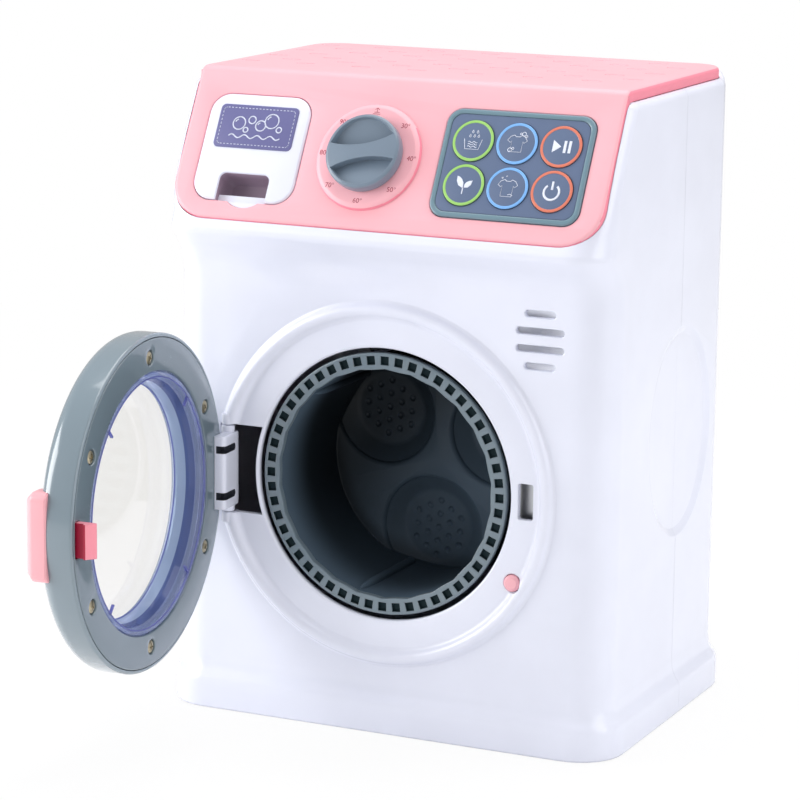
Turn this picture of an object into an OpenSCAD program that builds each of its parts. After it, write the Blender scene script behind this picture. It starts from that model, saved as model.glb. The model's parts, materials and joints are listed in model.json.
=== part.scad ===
// Toy front-loading washing machine with a hinged porthole door,
// a turning drum, a control panel with six keys, a dial and a soap drawer.
// Millimetres. X runs to the right, Y to the back and Z up. The origin is
// at the middle of the underside, where the body stands.

/* [Body] */
// Width of the white body
body_w = 183; // [180:1:194]
// Depth of the white body from front face to back face
body_d = 130; // [127:1:145]
// Height to the top of the cover
total_h = 251; // [246:1:262]
// Thickness of the moulded walls
wall = 2.5; // [2.2:0.1:2.8]
// Distance from the front face back to the joint of the two shells
seam_back = 75; // [73:1:77]
// Gap left open at the joint of the two shells
seam_gap = 0.2; // [0.1:0.1:0.4]
// Radius of the upright corners at the front
corner_front = 15; // [12:1:17]
// Radius of the upright corners at the back
corner_rear = 15; // [12:1:17]

/* [Plinth] */
// How far the plinth stands out from the body
plinth_out = 3.5; // [2:0.5:5]
// Height of the upright band of the plinth
plinth_band = 10; // [8:1:13]
// Height of the hollow shoulder above the band
plinth_shoulder = 9; // [7:1:12]

/* [Panel] */
// Lean of the control panel from upright, in degrees
panel_tilt = 28.5; // [27:0.5:30]
// Length of the panel down its slope
panel_len = 62.4; // [61:0.2:64]
// Distance of the crease behind the front face
crease_back = 20.7; // [19:0.1:22]
// Thickness of the pink cover
cover_t = 2.5; // [2.2:0.1:2.8]
// How far the white rim lies under the top of the cover
rim_drop = 4.4; // [3.4:0.1:5]
// Radius of the lower corners of the cover
cover_corner = 16; // [13:1:18]
// Depth of the skirt inside the side walls
skirt_h = 8; // [6:1:10]
// Clearance between fixed pieces
fit_gap = 0.3; // [0.2:0.05:0.4]
// Clearance around sliding pieces
slide_gap = 0.35; // [0.3:0.05:0.45]
// Radius of the rounded nose under the panel
nose_r = 3; // [2.8:0.1:4]
// Greatest reach of the nose in front of the front face
nose_out = 10.9; // [10:0.1:11.5]
// Height at which the hollow under the nose starts
cove_z = 171.3; // [169:0.1:173]
// Radius of the hollow under the nose
cove_r = 20; // [18:1:22]

/* [Drum] */
// Height of the drum axis
drum_z = 97.5; // [96:0.5:99]
// Radius of the opening in the front wall
mouth_r = 53; // [52.6:0.1:53.2]
// Outer radius of the ring on the drum
ring_r = 51.1; // [50.8:0.1:51.4]
// Inner radius of the drum
drum_r = 45; // [44.5:0.1:45.2]
// Thickness of the drum wall
drum_t = 1.8; // [1.5:0.1:2]
// Depth of the drum from the front face to its back plate
drum_depth = 52; // [48:1:53]
// Number of windows in the ring
window_count = 52; // [40:1:52]
// Width of a window
window_w = 3.4; // [3:0.1:3.6]
// Height of a window along the radius
window_h = 3.4; // [3:0.1:3.6]
// Thickness of the ring
ring_t = 3; // [2.5:0.1:3.5]
// Set-back of the ring behind the front face
ring_setback = 0.8; // [0.6:0.1:1.2]
// Distance of the three dished lobes from the axis
lobe_at = 29; // [28.5:0.1:30]
// Radius of a lobe at its rim
lobe_r = 20.8; // [20:0.1:21]
// Radius of the floor of a lobe
lobe_floor_r = 14.5; // [12:0.5:16]
// Depth of a lobe
lobe_depth = 7; // [5:0.5:7]
// Turn of the lobes, in degrees
spider_turn = 5; // [-30:1:30]
// Height of the three lifting ribs
rib_h = 2.2; // [1.5:0.1:3]
// Radius of the axle
axle_r = 3; // [2.6:0.1:3.2]
// Running clearance of pins and shafts
run_gap = 0.05; // [0.03:0.01:0.08]

/* [Drive] */
// Module of the gears
gear_m = 1.25; // [1.2:0.01:1.3]
// Teeth of the drum gear
gear_n = 48; // [44:4:52]
// Teeth of the motor pinion
pinion_n = 14; // [13:1:16]
// Pressure angle of the teeth, in degrees
pressure = 25; // [23:1:26]
// Play between the flanks of the teeth
backlash = 0.6; // [0.55:0.05:0.7]
// Thickness of the gears
gear_t = 5; // [4:0.5:5.5]
// Direction of the motor seen from the axle, in degrees
motor_turn = -62; // [-66:1:-56]
// Radius of the motor can
motor_r = 10; // [9:0.5:10.5]
// Length of the motor can
motor_len = 24; // [22:1:25]
// Thickness of the bearing plate
plate_t = 3; // [2.5:0.5:4]
// Length of the bearing
bearing_len = 14; // [12:1:16]

/* [Door] */
// Radius of the flat inner ring of the door
door_r = 63; // [62.5:0.1:63.2]
// Radius of the outer ring of the door
door_outer_r = 63.6; // [63.3:0.1:63.8]
// Radius of the window opening
glass_r = 49.5; // [49:0.1:50]
// Thickness of the inner ring
door_inner_t = 3; // [2.6:0.1:3.4]
// Depth of the whole door ring
door_t = 15; // [14:0.5:17]
// Radius of the rounded outer edge
door_round = 9; // [7:0.5:9.5]
// Gap between the closed door and the front face
door_gap = 1.6; // [1.5:0.1:1.9]
// Opening angle of the door as drawn, in degrees
door_open = 86.6; // [80:0.2:88]
// Distance of the hinge pin from the drum axis
hinge_x = 66; // [65.9:0.1:66.2]
// Distance of the hinge pin in front of the front face
pin_out = 0.5; // [0.4:0.1:0.6]
// Radius of the hinge pin
pin_r = 1; // [0.8:0.05:1.1]
// Radius of the hinge barrel
barrel_r = 2.6; // [2.4:0.1:2.7]
// Height of the hinge arm
arm_h = 29; // [26:1:30]
// Thickness of the hinge arm
arm_t = 4.7; // [4.3:0.1:4.9]
// Distance of the arm's end from the hinge pin
arm_len = 10.85; // [10:0.05:10.9]
// Height of the opening behind the hinge
hinge_open_h = 34.8; // [34:0.2:36]
// Radius of the circle of door screws
door_screw_at = 55; // [54.8:0.1:55.6]

/* [Bead] */
// Inner radius of the raised bead around the door
bead_in = 64.5; // [64.3:0.1:65]
// Outer radius of the bead
bead_out = 70.2; // [69.5:0.1:71]
// Height of the bead
bead_h = 2.5; // [2:0.1:2.5]

/* [Latch] */
// Distance of the latch slot's middle from the drum axis
slot_x = 59.1; // [58.9:0.1:59.2]
// Width of the latch slot
slot_w = 6; // [5.8:0.1:6.4]
// Height of the latch slot
slot_h = 13.8; // [13.6:0.1:14.4]
// Height of the hook
hook_h = 12.8; // [12:0.1:13]
// Height of the handle
handle_h = 33; // [28:1:36]
// Reach of the handle in front of the door ring
handle_out = 3; // [2:0.5:6]

/* [Door button] */
// Sideways place of the button
button_x = 54.3; // [54.1:0.1:54.5]
// Distance of the button below the drum axis
button_down = 31.7; // [31.4:0.1:32.5]
// Radius of the button
button_r = 3.2; // [3:0.1:3.4]
// Height of the button in front of the wall
button_out = 1.2; // [0.9:0.1:1.2]
// Travel of the button
button_travel = 1; // [0.8:0.1:1]

/* [Speaker] */
// Sideways place of the speaker
speaker_x = 63.6; // [62:0.1:64]
// Height of the speaker
speaker_z = 159.2; // [158:0.1:160]
// Radius of the speaker
speaker_r = 13.5; // [12.5:0.5:13.5]
// Spacing of the speaker slots
slot_pitch = 6.6; // [6:0.1:6.8]
// Height of a speaker slot
grille_h = 3.2; // [2.8:0.1:3.6]
// Length of the two long speaker slots
grille_long = 19.8; // [17:0.1:20]
// Length of the two short speaker slots
grille_short = 12.9; // [10:0.1:14]

/* [Drawer] */
// Sideways place of the drawer's middle
drawer_x = -58.6; // [-59:0.1:-58.2]
// Place of the drawer's middle down the slope
drawer_s = 32.9; // [32.5:0.1:33.3]
// Width of the drawer's face
drawer_w = 42.8; // [42:0.1:43.4]
// Height of the drawer's face
drawer_h = 43.4; // [42.6:0.1:44]
// Corner radius of the drawer's face
drawer_corner = 8; // [6:0.5:9]
// Width of the tub
tub_w = 36; // [34:0.5:36.5]
// Height of the tub
tub_h = 37; // [35:0.5:37]
// Depth of the tub behind the face
tub_d = 36; // [32:1:38]
// Thickness of the tub's walls
tub_t = 1.5; // [1.2:0.1:1.8]
// Width of the finger notch
notch_w = 21; // [18:0.5:22]
// Height of the finger notch
notch_h = 11; // [9:0.5:12]
// Depth of the finger notch
notch_d = 9; // [7:0.5:11]

/* [Dial] */
// Sideways place of the dial
dial_x = -9.2; // [-10:0.1:-9]
// Place of the dial down the slope
dial_s = 33.2; // [32.5:0.1:34]
// Radius of the raised disc under the dial
dial_boss_r = 21.5; // [20:0.5:22]
// Height of the raised disc
dial_boss_h = 1.8; // [1:0.1:2.5]
// Radius of the knob
knob_r = 14.9; // [13.5:0.1:16]
// Height of the knob
knob_h = 5.1; // [4.5:0.1:8]
// Depth of the two finger hollows in the knob
knob_dish = 2.6; // [2:0.1:3]
// Radius of the knob's stem
stem_r = 4; // [3.5:0.1:4.5]
// Radius of the click wheel
click_r = 10; // [9:0.5:10.5]
// Number of click places
click_n = 8; // [8:1:16]

/* [Keys] */
// Sideways place of the key pad's middle
pad_x = 49.4; // [49:0.1:49.8]
// Place of the key pad's middle down the slope
pad_s = 32.7; // [32.3:0.1:33.1]
// Width of the key pad
pad_w = 59.6; // [59:0.1:60.4]
// Height of the key pad
pad_h = 43; // [42.4:0.1:43.6]
// Corner radius of the key pad
pad_corner = 6; // [5.5:0.1:7]
// Width of the frame around the key pad
frame_w = 2; // [1.8:0.1:2.2]
// Spacing of the keys
key_pitch = 17.6; // [17.6:0.1:17.8]
// Radius of a key
key_r = 8.1; // [7.6:0.1:8.1]
// Clearance around a key
key_gap = 0.3; // [0.3:0.05:0.35]
// Travel of a key
key_travel = 0.8; // [0.5:0.1:0.8]

/* [Batteries] */
// Radius of a cell
cell_r = 7.1; // [6.9:0.1:7.2]
// Length of a cell
cell_len = 50.5; // [49.5:0.1:50.5]
// Number of cells
cell_n = 3; // [2:1:3]
// Spacing of the cells
cell_pitch = 15.2; // [14.8:0.1:15.6]
// Height of the lowest cell
cell_z = 40; // [38:1:42]

/* [Hidden] */
$fn = 64;
white = [0.95, 0.95, 0.98];
pink = [0.98, 0.62, 0.66];
slate = [0.42, 0.48, 0.52];
navy = [0.16, 0.2, 0.3];
steel = [0.75, 0.76, 0.78];
half_w = body_w / 2;
// The pieces on the panel spread and widen with the body
spread = body_w / 183;
drawer_fw = drawer_w * spread;
tub_fw = tub_w * spread;
notch_fw = notch_w * spread;
pad_fw = pad_w * spread;
pad_fh = pad_h * spread;
key_fp = key_pitch * spread;
key_fr = key_r * spread;
neck_x = slot_x - 1.6;
neck_t = 2.7;
in_w = half_w - wall;
cover_w = in_w - fit_gap;
cover_back = body_d - wall - fit_gap;
rim_z = total_h - rim_drop;
st = sin(panel_tilt);
ct = cos(panel_tilt);
// Place on the slope, as [y, z], at distance s from the crease and n outwards
function slope(s, n = 0) = [crease_back - s * st - n * ct, total_h - s * ct + n * st];
nose_s = (crease_back + nose_out - nose_r * (1 - ct)) / st;
nose_c = slope(nose_s, -nose_r);
cove_end = [-cove_r * (1 - cos(45)), cove_z + cove_r * sin(45)];
under = cover_t + 2;
gear_pr = gear_m * gear_n / 2;
pinion_pr = gear_m * pinion_n / 2;
gear_dist = gear_pr + pinion_pr;
motor_x = gear_dist * cos(motor_turn);
motor_z = drum_z + gear_dist * sin(motor_turn);
drum_back = drum_depth + lobe_depth + 1.6;
gear_y = drum_back + 1;
plate_y = gear_y + gear_t + 2.5;
boss_x = half_w - 15;
screw_z = [20, 128, 214];
post_x = 40;
post_z = 36;
button_z = drum_z - button_down;
bay_w = cell_len / 2 + 2.2;
bay_y = body_d - wall - 2 * cell_r - 1;
bay_z0 = cell_z - cell_r - 0.4;
bay_z1 = cell_z + (cell_n - 1) * cell_pitch + cell_r + 0.4;
lid_w = bay_w + 2;
lid_z0 = bay_z0 - 2;
lid_z1 = bay_z1 + 10;
lid_screw_z = lid_z1 - 4.5;
knob_n = dial_boss_h + 0.3;

// Everything below is placed from the front face at y = 0
module in_body() {
  translate([0, -body_d / 2, 0]) children();
}

// Local z is the way out of the panel, local y runs up the slope
module on_panel(x, s) {
  translate([x, slope(s)[0], slope(s)[1]]) rotate([90 - panel_tilt, 0, 0]) children();
}

// Local z runs to the back from the front face, about the drum axis
module on_axis(y = 0) {
  translate([0, y, drum_z]) rotate([-90, 0, 0]) children();
}

// Door placed at its opening angle; local z is the way out of the closed door
module in_door() {
  translate([-hinge_x, -pin_out, drum_z]) rotate([0, 0, -door_open])
    translate([hinge_x, pin_out - door_gap, 0]) rotate([90, 0, 0]) children();
}

// Rounded rectangle about the origin
module rounded(w, h, r) {
  square([w, h - 2 * r], center = true);
  square([w - 2 * r, h], center = true);
  for (i = [-1, 1]) {
    for (j = [-1, 1]) {
      translate([i * (w / 2 - r), j * (h / 2 - r)]) circle(r);
    }
  }
}

// Rounded block standing on z = 0
module block(w, h, t, r) {
  linear_extrude(t) rounded(w, h, r);
}

// Plan of the body with separate front and back corner radii
module plan(hw, yf, yb, rf, rb) {
  translate([-hw, yf + rf]) square([2 * hw, yb - yf - rf - rb]);
  translate([-hw + rf, yf]) square([2 * hw - 2 * rf, rf + 0.01]);
  translate([-hw + rb, yb - rb - 0.01]) square([2 * hw - 2 * rb, rb + 0.01]);
  for (i = [-1, 1]) {
    translate([i * (hw - rf), yf + rf]) circle(rf);
    translate([i * (hw - rb), yb - rb]) circle(rb);
  }
}

// Side view drawn in [y, z], stretched sideways over the whole width
module across(w) {
  translate([-w / 2, 0, 0]) rotate([90, 0, 90]) linear_extrude(w) children();
}

// Side view of the upper body, off is the depth under the skin
module upper_view(off) {
  difference() {
    union() {
      polygon([[off, cove_z - 2], [off, cove_z], [cove_end[0] + off * 0.7, cove_end[1] + off * 0.7],
        nose_c + (nose_r - min(off, nose_r - 0.2)) * [-cos(45), -sin(45)],
        nose_c, slope(nose_s, off > 0 ? -under : 0), slope(rim_drop / ct, off > 0 ? -under : 0),
        [body_d - 6, rim_z], [body_d - 4.5, total_h - 1.2],
        [body_d - off, total_h - 1.2], [body_d - off, cove_z - 2]]);
      translate(nose_c) circle(nose_r - min(off, nose_r - 0.2));
    }
    translate([-cove_r, cove_z]) circle(cove_r + off);
  }
}

// Hollow foot profile, x is the way out of the wall
module foot_view() {
  cr = (plinth_out * plinth_out + plinth_shoulder * plinth_shoulder) / (2 * plinth_out);
  difference() {
    translate([-1, 0]) square([plinth_out + 1, plinth_band + plinth_shoulder]);
    translate([cr - 0.05, plinth_band + plinth_shoulder]) circle(cr);
  }
}

module foot() {
  for (i = [-1, 1]) {
    translate([i * (half_w - corner_front), corner_front, 0])
      rotate([0, 0, i > 0 ? -90 : 180])
        rotate_extrude(angle = 90) translate([corner_front, 0]) foot_view();
    translate([i * (half_w - corner_rear), body_d - corner_rear, 0])
      rotate([0, 0, i > 0 ? 0 : 90])
        rotate_extrude(angle = 90) translate([corner_rear, 0]) foot_view();
  }
  translate([half_w, body_d - corner_rear, 0]) rotate([90, 0, 0])
    linear_extrude(body_d - corner_rear - corner_front) foot_view();
  translate([-half_w, corner_front, 0]) rotate([90, 0, 180])
    linear_extrude(body_d - corner_rear - corner_front) foot_view();
  translate([-half_w + corner_front, 0, 0]) rotate([90, 0, -90])
    mirror([0, 0, 1]) linear_extrude(body_w - 2 * corner_front) foot_view();
  translate([half_w - corner_rear, body_d, 0]) rotate([90, 0, 90])
    mirror([0, 0, 1]) linear_extrude(body_w - 2 * corner_rear) foot_view();
}

// Reach of the hollow under the nose at height dz above its start
function reach(dz) = cove_r - sqrt(cove_r * cove_r - dz * dz);

// Plan of the upper body, its corners step forwards with the nose
module stepped_plan(off) {
  steps = [-2, 6, 10, 13, 15.5];
  for (k = [0 : 4]) {
    far = k < 4 ? reach(steps[k + 1]) + 0.4 : nose_out + 0.3;
    low = cove_z + steps[k] + (k > 0 ? off : 0);
    top = k < 4 ? cove_z + steps[k + 1] + off : total_h + 5;
    translate([0, 0, low]) linear_extrude(top - low)
      plan(half_w - off, off - far, body_d - off, corner_front - off, corner_rear - off);
  }
}

// Solid outer form of the white body
module body_outer() {
  linear_extrude(cove_z) plan(half_w, 0, body_d, corner_front, corner_rear);
  intersection() {
    across(body_w + 2) upper_view(0);
    stepped_plan(0);
  }
  foot();
}

// Hollow inside of the white body
module body_inner() {
  translate([0, 0, wall]) linear_extrude(cove_z - wall - 1)
    plan(in_w, wall, body_d - wall, corner_front - wall, corner_rear - wall);
  intersection() {
    across(body_w + 2) upper_view(wall);
    stepped_plan(wall);
  }
}

// Outline of the cover on the slope, grown by g, cut off at the top
module panel_outline(g, len) {
  r = cover_corner + g;
  translate([-cover_w - g, -len - g + r]) square([2 * (cover_w + g), len + g - r + 8]);
  translate([-cover_w - g + r, -len - g]) square([2 * (cover_w + g - r), r + 0.01]);
  for (i = [-1, 1]) {
    translate([i * (cover_w + g - r), -len - g + r]) circle(r);
  }
}

// Space that the cover takes from the shells
module cover_space() {
  on_panel(0, 0) translate([0, 0, -cover_t]) linear_extrude(30) panel_outline(fit_gap, panel_len);
  on_panel(0, 0) translate([0, 0, -14]) linear_extrude(20)
    translate([-in_w + 4, -panel_len + 4]) square([2 * in_w - 8, panel_len + 8]);
  on_panel(0, 0) translate([0, 0, -14]) linear_extrude(14.2 - cover_t)
    translate([-in_w - 0.4, -panel_len + cover_corner + 2]) square([2 * in_w + 0.8, panel_len]);
  translate([0, 0, rim_z - 14]) linear_extrude(40)
    plan(in_w, crease_back, body_d - wall, 1, corner_rear - wall);
}

module shell() {
  difference() {
    body_outer();
    body_inner();
    cover_space();
  }
}

// Round hole tool running to the back
module bore(x, z, r, y0, y1) {
  translate([x, y0, z]) rotate([-90, 0, 0]) cylinder(r = r, h = y1 - y0);
}

module grille(x, z, len) {
  translate([x, wall + 3, z]) rotate([90, 0, 0]) linear_extrude(wall + 6) {
    square([len - grille_h, grille_h], center = true);
    translate([-(len - grille_h) / 2, 0]) circle(grille_h / 2);
    translate([(len - grille_h) / 2, 0]) circle(grille_h / 2);
  }
}

module front_shell() {
  color(white) in_body() {
    difference() {
      union() {
        intersection() {
          shell();
          translate([-120, -30, -1]) cube([240, 30 + seam_back - seam_gap / 2, total_h + 10]);
        }
        difference() {
          on_axis(-bead_h) rotate_extrude() bead_view();
          translate([-hinge_x - 6, -10, drum_z - hinge_open_h / 2]) cube([14, 20, hinge_open_h]);
        }
        hinge_lugs();
        for (i = [-1, 1]) {
          for (z = screw_z) {
            bore(i * boss_x, z, 3.6, seam_back - 22, seam_back - seam_gap / 2);
            translate([i * (boss_x + 7) - 6.25, seam_back - 22, z - 1]) cube([12.5, 22 - seam_gap / 2, 2]);
          }
        }
        difference() {
          bore(speaker_x, speaker_z, speaker_r + 1.8, wall - 0.5, wall + 5);
          bore(speaker_x, speaker_z, speaker_r + 0.3, wall - 1, wall + 6);
        }
        for (j = [-1, 1]) {
          translate([slot_x - 5, wall - 0.5, drum_z + j * (slot_h / 2 + 1.7) - 1])
            cube([10, 4.2, 2]);
          translate([button_x - 3, wall - 0.5, button_z + j * 6.5 - 0.8]) cube([8, 12.5, 1.6]);
        }
        translate([button_x - 3, wall + 10.3, button_z - 7.3]) cube([8, 1.7, 14.6]);
      }
      on_axis(-5) cylinder(r = mouth_r, h = wall + 6);
      hinge_opening();
      translate([slot_x, -5, drum_z]) rotate([-90, 0, 0])
        block(slot_w, slot_h, wall + 6, 0.8);
      bore(button_x, button_z, button_r + 0.3, -5, wall + 1);
      grille(speaker_x, speaker_z + 1.5 * slot_pitch, grille_short);
      grille(speaker_x, speaker_z + 0.5 * slot_pitch, grille_long);
      grille(speaker_x, speaker_z - 0.5 * slot_pitch, grille_long);
      grille(speaker_x, speaker_z - 1.5 * slot_pitch, grille_short);
      for (i = [-1, 1]) {
        for (z = screw_z) {
          bore(i * boss_x, z, 1.35, seam_back - 15, seam_back + 1);
        }
      }
      bore_pin(pin_r + 0.02);
    }
  }
}

// Section of the raised bead, y is the way back
module bead_view() {
  mid = (bead_in + bead_out) / 2;
  br = (bead_out - bead_in) / 2;
  translate([bead_in, bead_h - 0.8]) square([bead_out - bead_in, 1.3]);
  intersection() {
    translate([mid, br]) circle(br);
    translate([bead_in, 0]) square([bead_out - bead_in, bead_h]);
  }
}

module bore_pin(r) {
  translate([-hinge_x, -pin_out, drum_z - hinge_open_h / 2 - 3]) cylinder(r = r, h = hinge_open_h + 6);
}

module hinge_lugs() {
  for (j = [0, 1]) {
    z = drum_z + (j > 0 ? hinge_open_h / 2 : -hinge_open_h / 2 - 4.2);
    translate([-hinge_x, -pin_out, z]) cylinder(r = 2.5, h = 4.2);
    translate([-hinge_x - 2.5, -pin_out, z]) cube([5, 4, 4.2]);
  }
}

// Opening that clears the hinge arm, its inner side follows the mouth
module hinge_opening() {
  difference() {
    translate([-hinge_x - 3.6, -5, drum_z - hinge_open_h / 2]) cube([30, wall + 6, hinge_open_h]);
    on_axis(-6) cylinder(r = mouth_r + 1.2, h = wall + 8);
  }
}

module back_shell() {
  color(white) in_body() {
    difference() {
      union() {
        intersection() {
          shell();
          translate([-120, seam_back + seam_gap / 2, -1]) cube([240, 80, total_h + 10]);
        }
        for (i = [-1, 1]) {
          for (z = screw_z) {
            bore(i * boss_x, z, 4.6, seam_back + seam_gap / 2, body_d - 1);
            translate([i * (boss_x + 7) - 6.25, seam_back + seam_gap / 2, z - 1])
              cube([12.5, body_d - 17 - seam_back, 2]);
          }
          for (j = [-1, 1]) {
            bore(i * post_x, drum_z + j * post_z, 4, plate_y + plate_t, body_d - 1);
          }
        }
      }
      for (i = [-1, 1]) {
        for (z = screw_z) {
          bore(i * boss_x, z, 1.6, seam_back - 1, body_d + 1);
          bore(i * boss_x, z, 3.2, seam_back + 6, body_d + 1);
        }
        for (j = [-1, 1]) {
          bore(i * post_x, drum_z + j * post_z, 1.35, plate_y, plate_y + plate_t + 12);
        }
      }
      translate([-lid_w - fit_gap, body_d - wall - 1, lid_z0 - fit_gap])
        cube([2 * (lid_w + fit_gap), wall + 2, lid_z1 - lid_z0 + 2 * fit_gap]);
    }
  }
}

// Screw running to the front from its head at y
module screw(x, z, y, hr, sr, len) {
  difference() {
    bore(x, z, hr, y, y + 1.8);
    translate([x, y + 1.5, z]) cube([hr * 1.3, 1.2, 0.7], center = true);
    translate([x, y + 1.5, z]) cube([0.7, 1.2, hr * 1.3], center = true);
  }
  bore(x, z, sr, y - len, y + 0.1);
}

module case_screws() {
  color(steel) in_body() {
    for (i = [-1, 1]) {
      for (z = screw_z) {
        screw(i * boss_x, z, seam_back + 6, 2.8, 1.3, 18);
      }
    }
  }
}

module top_cover() {
  color(pink) in_body() {
    difference() {
      union() {
        across(2 * cover_w) cover_view();
        for (i = [-1, 1]) {
          translate([i * (cover_w - 1.3), 0, 0]) across(2) skirt_view();
        }
        translate([-cover_w + 13, cover_back - 2.3, total_h - skirt_h - cover_t])
          cube([2 * cover_w - 26, 2, skirt_h + 1]);
        on_panel(dial_x * spread, dial_s) translate([0, 0, -1])
          cylinder(r = dial_boss_r, h = dial_boss_h + 1);
      }
      on_panel(drawer_x * spread, drawer_s) translate([0, 0, -10])
        block(drawer_fw + 2 * slide_gap, drawer_h + 2 * slide_gap, 20, drawer_corner + slide_gap);
      on_panel(drawer_x * spread + 1, drawer_s + 13.9) translate([0, 0, -10]) cylinder(r = 10.6, h = 20);
      on_panel(dial_x * spread, dial_s) translate([0, 0, -10]) cylinder(r = stem_r + 0.3, h = 20);
      on_panel(pad_x * spread, pad_s) translate([0, 0, -10])
        block(pad_fw + 2 * fit_gap, pad_fh + 2 * fit_gap, 20, pad_corner + fit_gap);
      vents();
      for (i = [0, 1]) {
        mirror([i, 0, 0]) {
          on_panel(cover_w, panel_len) translate([0, 0, -10]) linear_extrude(20)
            rotate(-90) corner_waste(cover_corner);
          translate([cover_w, cover_back, total_h - 20]) linear_extrude(30)
            corner_waste(corner_rear - wall - fit_gap);
        }
      }
    }
  }
}

// Side view of the bent sheet of the cover
module cover_view() {
  polygon([slope(panel_len), [crease_back, total_h], [cover_back, total_h],
    [cover_back, total_h - cover_t],
    [crease_back + cover_t * tan(45 - panel_tilt / 2), total_h - cover_t],
    slope(panel_len, -cover_t)]);
}

// What goes from a corner at the origin, whose sheet lies to the left and below
module corner_waste(r) {
  difference() {
    translate([-r + 0.05, -r + 0.05]) square(r + 1);
    translate([-r + 0.05, -r + 0.05]) circle(r);
  }
}

// Side view of the skirts of the cover
module skirt_view() {
  polygon([slope(panel_len - cover_corner - 4, -1), slope(0, -1), [crease_back, total_h - 1],
    [cover_back - 8, total_h - 1], [cover_back - 8, total_h - skirt_h - cover_t],
    [crease_back + 6, total_h - skirt_h - cover_t],
    slope(panel_len - cover_corner - 4, -skirt_h)]);
}

// Short shallow grooves in staggered rows
module vents() {
  for (row = [0 : 6]) {
    for (i = [0 : 6]) {
      translate([-80 + i * 24 + (row % 2) * 12 - 3.75, 44.5 + row * 11.8, total_h - 0.5])
        cube([7.5, 1.1, 1]);
    }
  }
}

module drawer_housing() {
  ow = tub_fw + 2 * slide_gap + 3;
  oh = tub_h + 2 * slide_gap + 3;
  color(white) in_body() {
    on_panel(drawer_x * spread, drawer_s) {
      difference() {
        union() {
          translate([0, 0, -cover_t - 2]) block(drawer_fw + 6, drawer_h + 6, 2, 6);
          translate([0, 0, -tub_d - 5]) block(ow, oh, tub_d + 5 - cover_t, 2);
          intersection() {
            translate([1, -13.9, -cover_t - 1]) cylinder(r = 10.3, h = cover_t + 0.4);
            translate([-20, -40, -6]) cube([40, 40 - drawer_h / 2 - slide_gap, 8]);
          }
        }
        translate([0, 0, -tub_d - 3])
          block(tub_fw + 2 * slide_gap, tub_h + 2 * slide_gap, tub_d + 3.5 - cover_t, 1.5);
      }
    }
  }
}

module drawer() {
  face_n = -cover_t + 0.3;
  notch_top = -drawer_h / 2 + notch_h;
  color(white) in_body() {
    on_panel(drawer_x * spread, drawer_s) {
      difference() {
        union() {
          translate([0, 0, face_n]) block(drawer_fw, drawer_h, cover_t + 0.3, drawer_corner);
          difference() {
            translate([0, 0, -tub_d - 2.4]) block(tub_fw, tub_h, tub_d + 1, 1.5);
            translate([-tub_fw / 2 + tub_t, -tub_h / 2 + tub_t, -tub_d - 2.4 + tub_t])
              cube([tub_fw - 2 * tub_t, tub_h, tub_d - tub_t]);
          }
          translate([-notch_fw / 2 - tub_t, -tub_h / 2, -notch_d - tub_t])
            cube([notch_fw + 2 * tub_t, notch_top + tub_h / 2 + tub_t, notch_d]);
        }
        translate([0, notch_top - 15, -notch_d]) block(notch_fw, 30, notch_d + 5, 2.5);
      }
    }
  }
}

module drawer_label() {
  color(navy) in_body() {
    on_panel(drawer_x * spread, drawer_s - drawer_h / 2 + 13.4) translate([0, 0, 0.6])
      block(drawer_fw - 9.4, drawer_h - 25.7, 0.3, 2);
  }
}

module knob() {
  color(slate) in_body() {
    on_panel(dial_x * spread, dial_s) {
      difference() {
        union() {
          translate([0, 0, knob_n]) cylinder(r = knob_r, h = knob_h - 1);
          translate([0, 0, knob_n + knob_h - 1]) cylinder(r1 = knob_r, r2 = knob_r - 1.2, h = 1);
        }
        rotate([0, 0, 12]) {
          for (j = [-1, 1]) {
            intersection() {
              translate([0, 0, knob_n + knob_h - knob_dish]) cylinder(r = knob_r - 2, h = 5);
              translate([0, j * 19.2, knob_n + knob_h - knob_dish]) cylinder(r = 16, h = 5);
            }
          }
        }
      }
      translate([0, 0, -9]) cylinder(r = stem_r, h = 9.5 + knob_n);
    }
  }
}

module click_wheel() {
  color(white) in_body() {
    on_panel(dial_x * spread, dial_s) {
      difference() {
        translate([0, 0, -8.5]) cylinder(r = click_r, h = 3);
        translate([0, 0, -10]) cylinder(r = stem_r + 0.02, h = 6);
        for (k = [0 : click_n - 1]) {
          rotate([0, 0, k * 360 / click_n]) translate([click_r + 0.3, 0, -10]) cylinder(r = 1.1, h = 6);
        }
      }
    }
  }
}

module rotary_switch() {
  color(slate) in_body() {
    on_panel(dial_x * spread, dial_s) {
      difference() {
        translate([0, 0, -12]) cylinder(r = 13.5, h = 12 - cover_t);
        translate([0, 0, -10.5]) cylinder(r = 12, h = 12);
      }
      rotate([0, 0, 90]) translate([click_r + 0.7, -0.5, -10.6]) cube([1.6, 1, 8]);
    }
  }
}

// Places of the six keys in the order of their names
module at_key(k) {
  col = (k - 1) % 3;
  row = floor((k - 1) / 3);
  on_panel(pad_x * spread + (col - 1) * key_fp, pad_s + (row - 0.5) * key_fp) children();
}

module pad_bezel() {
  iw = pad_fw - 2 * frame_w;
  ih = pad_fh - 2 * frame_w;
  color(slate) in_body() {
    on_panel(pad_x * spread, pad_s) {
      difference() {
        union() {
          translate([0, 0, -cover_t]) block(pad_fw, pad_fh, cover_t + 0.8, pad_corner);
          translate([0, 0, -cover_t - 2]) block(pad_fw + 5, pad_fh + 5, 2, pad_corner + 2.5);
          translate([0, 0, -6.4]) block(pad_fw - 1, pad_fh - 1, 5, pad_corner - 0.5);
        }
        translate([0, 0, -1.5]) block(iw, ih, 10, pad_corner - frame_w);
        translate([0, 0, -10]) block(iw - 2, ih - 2, 20, pad_corner - frame_w - 1);
      }
    }
  }
}

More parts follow.
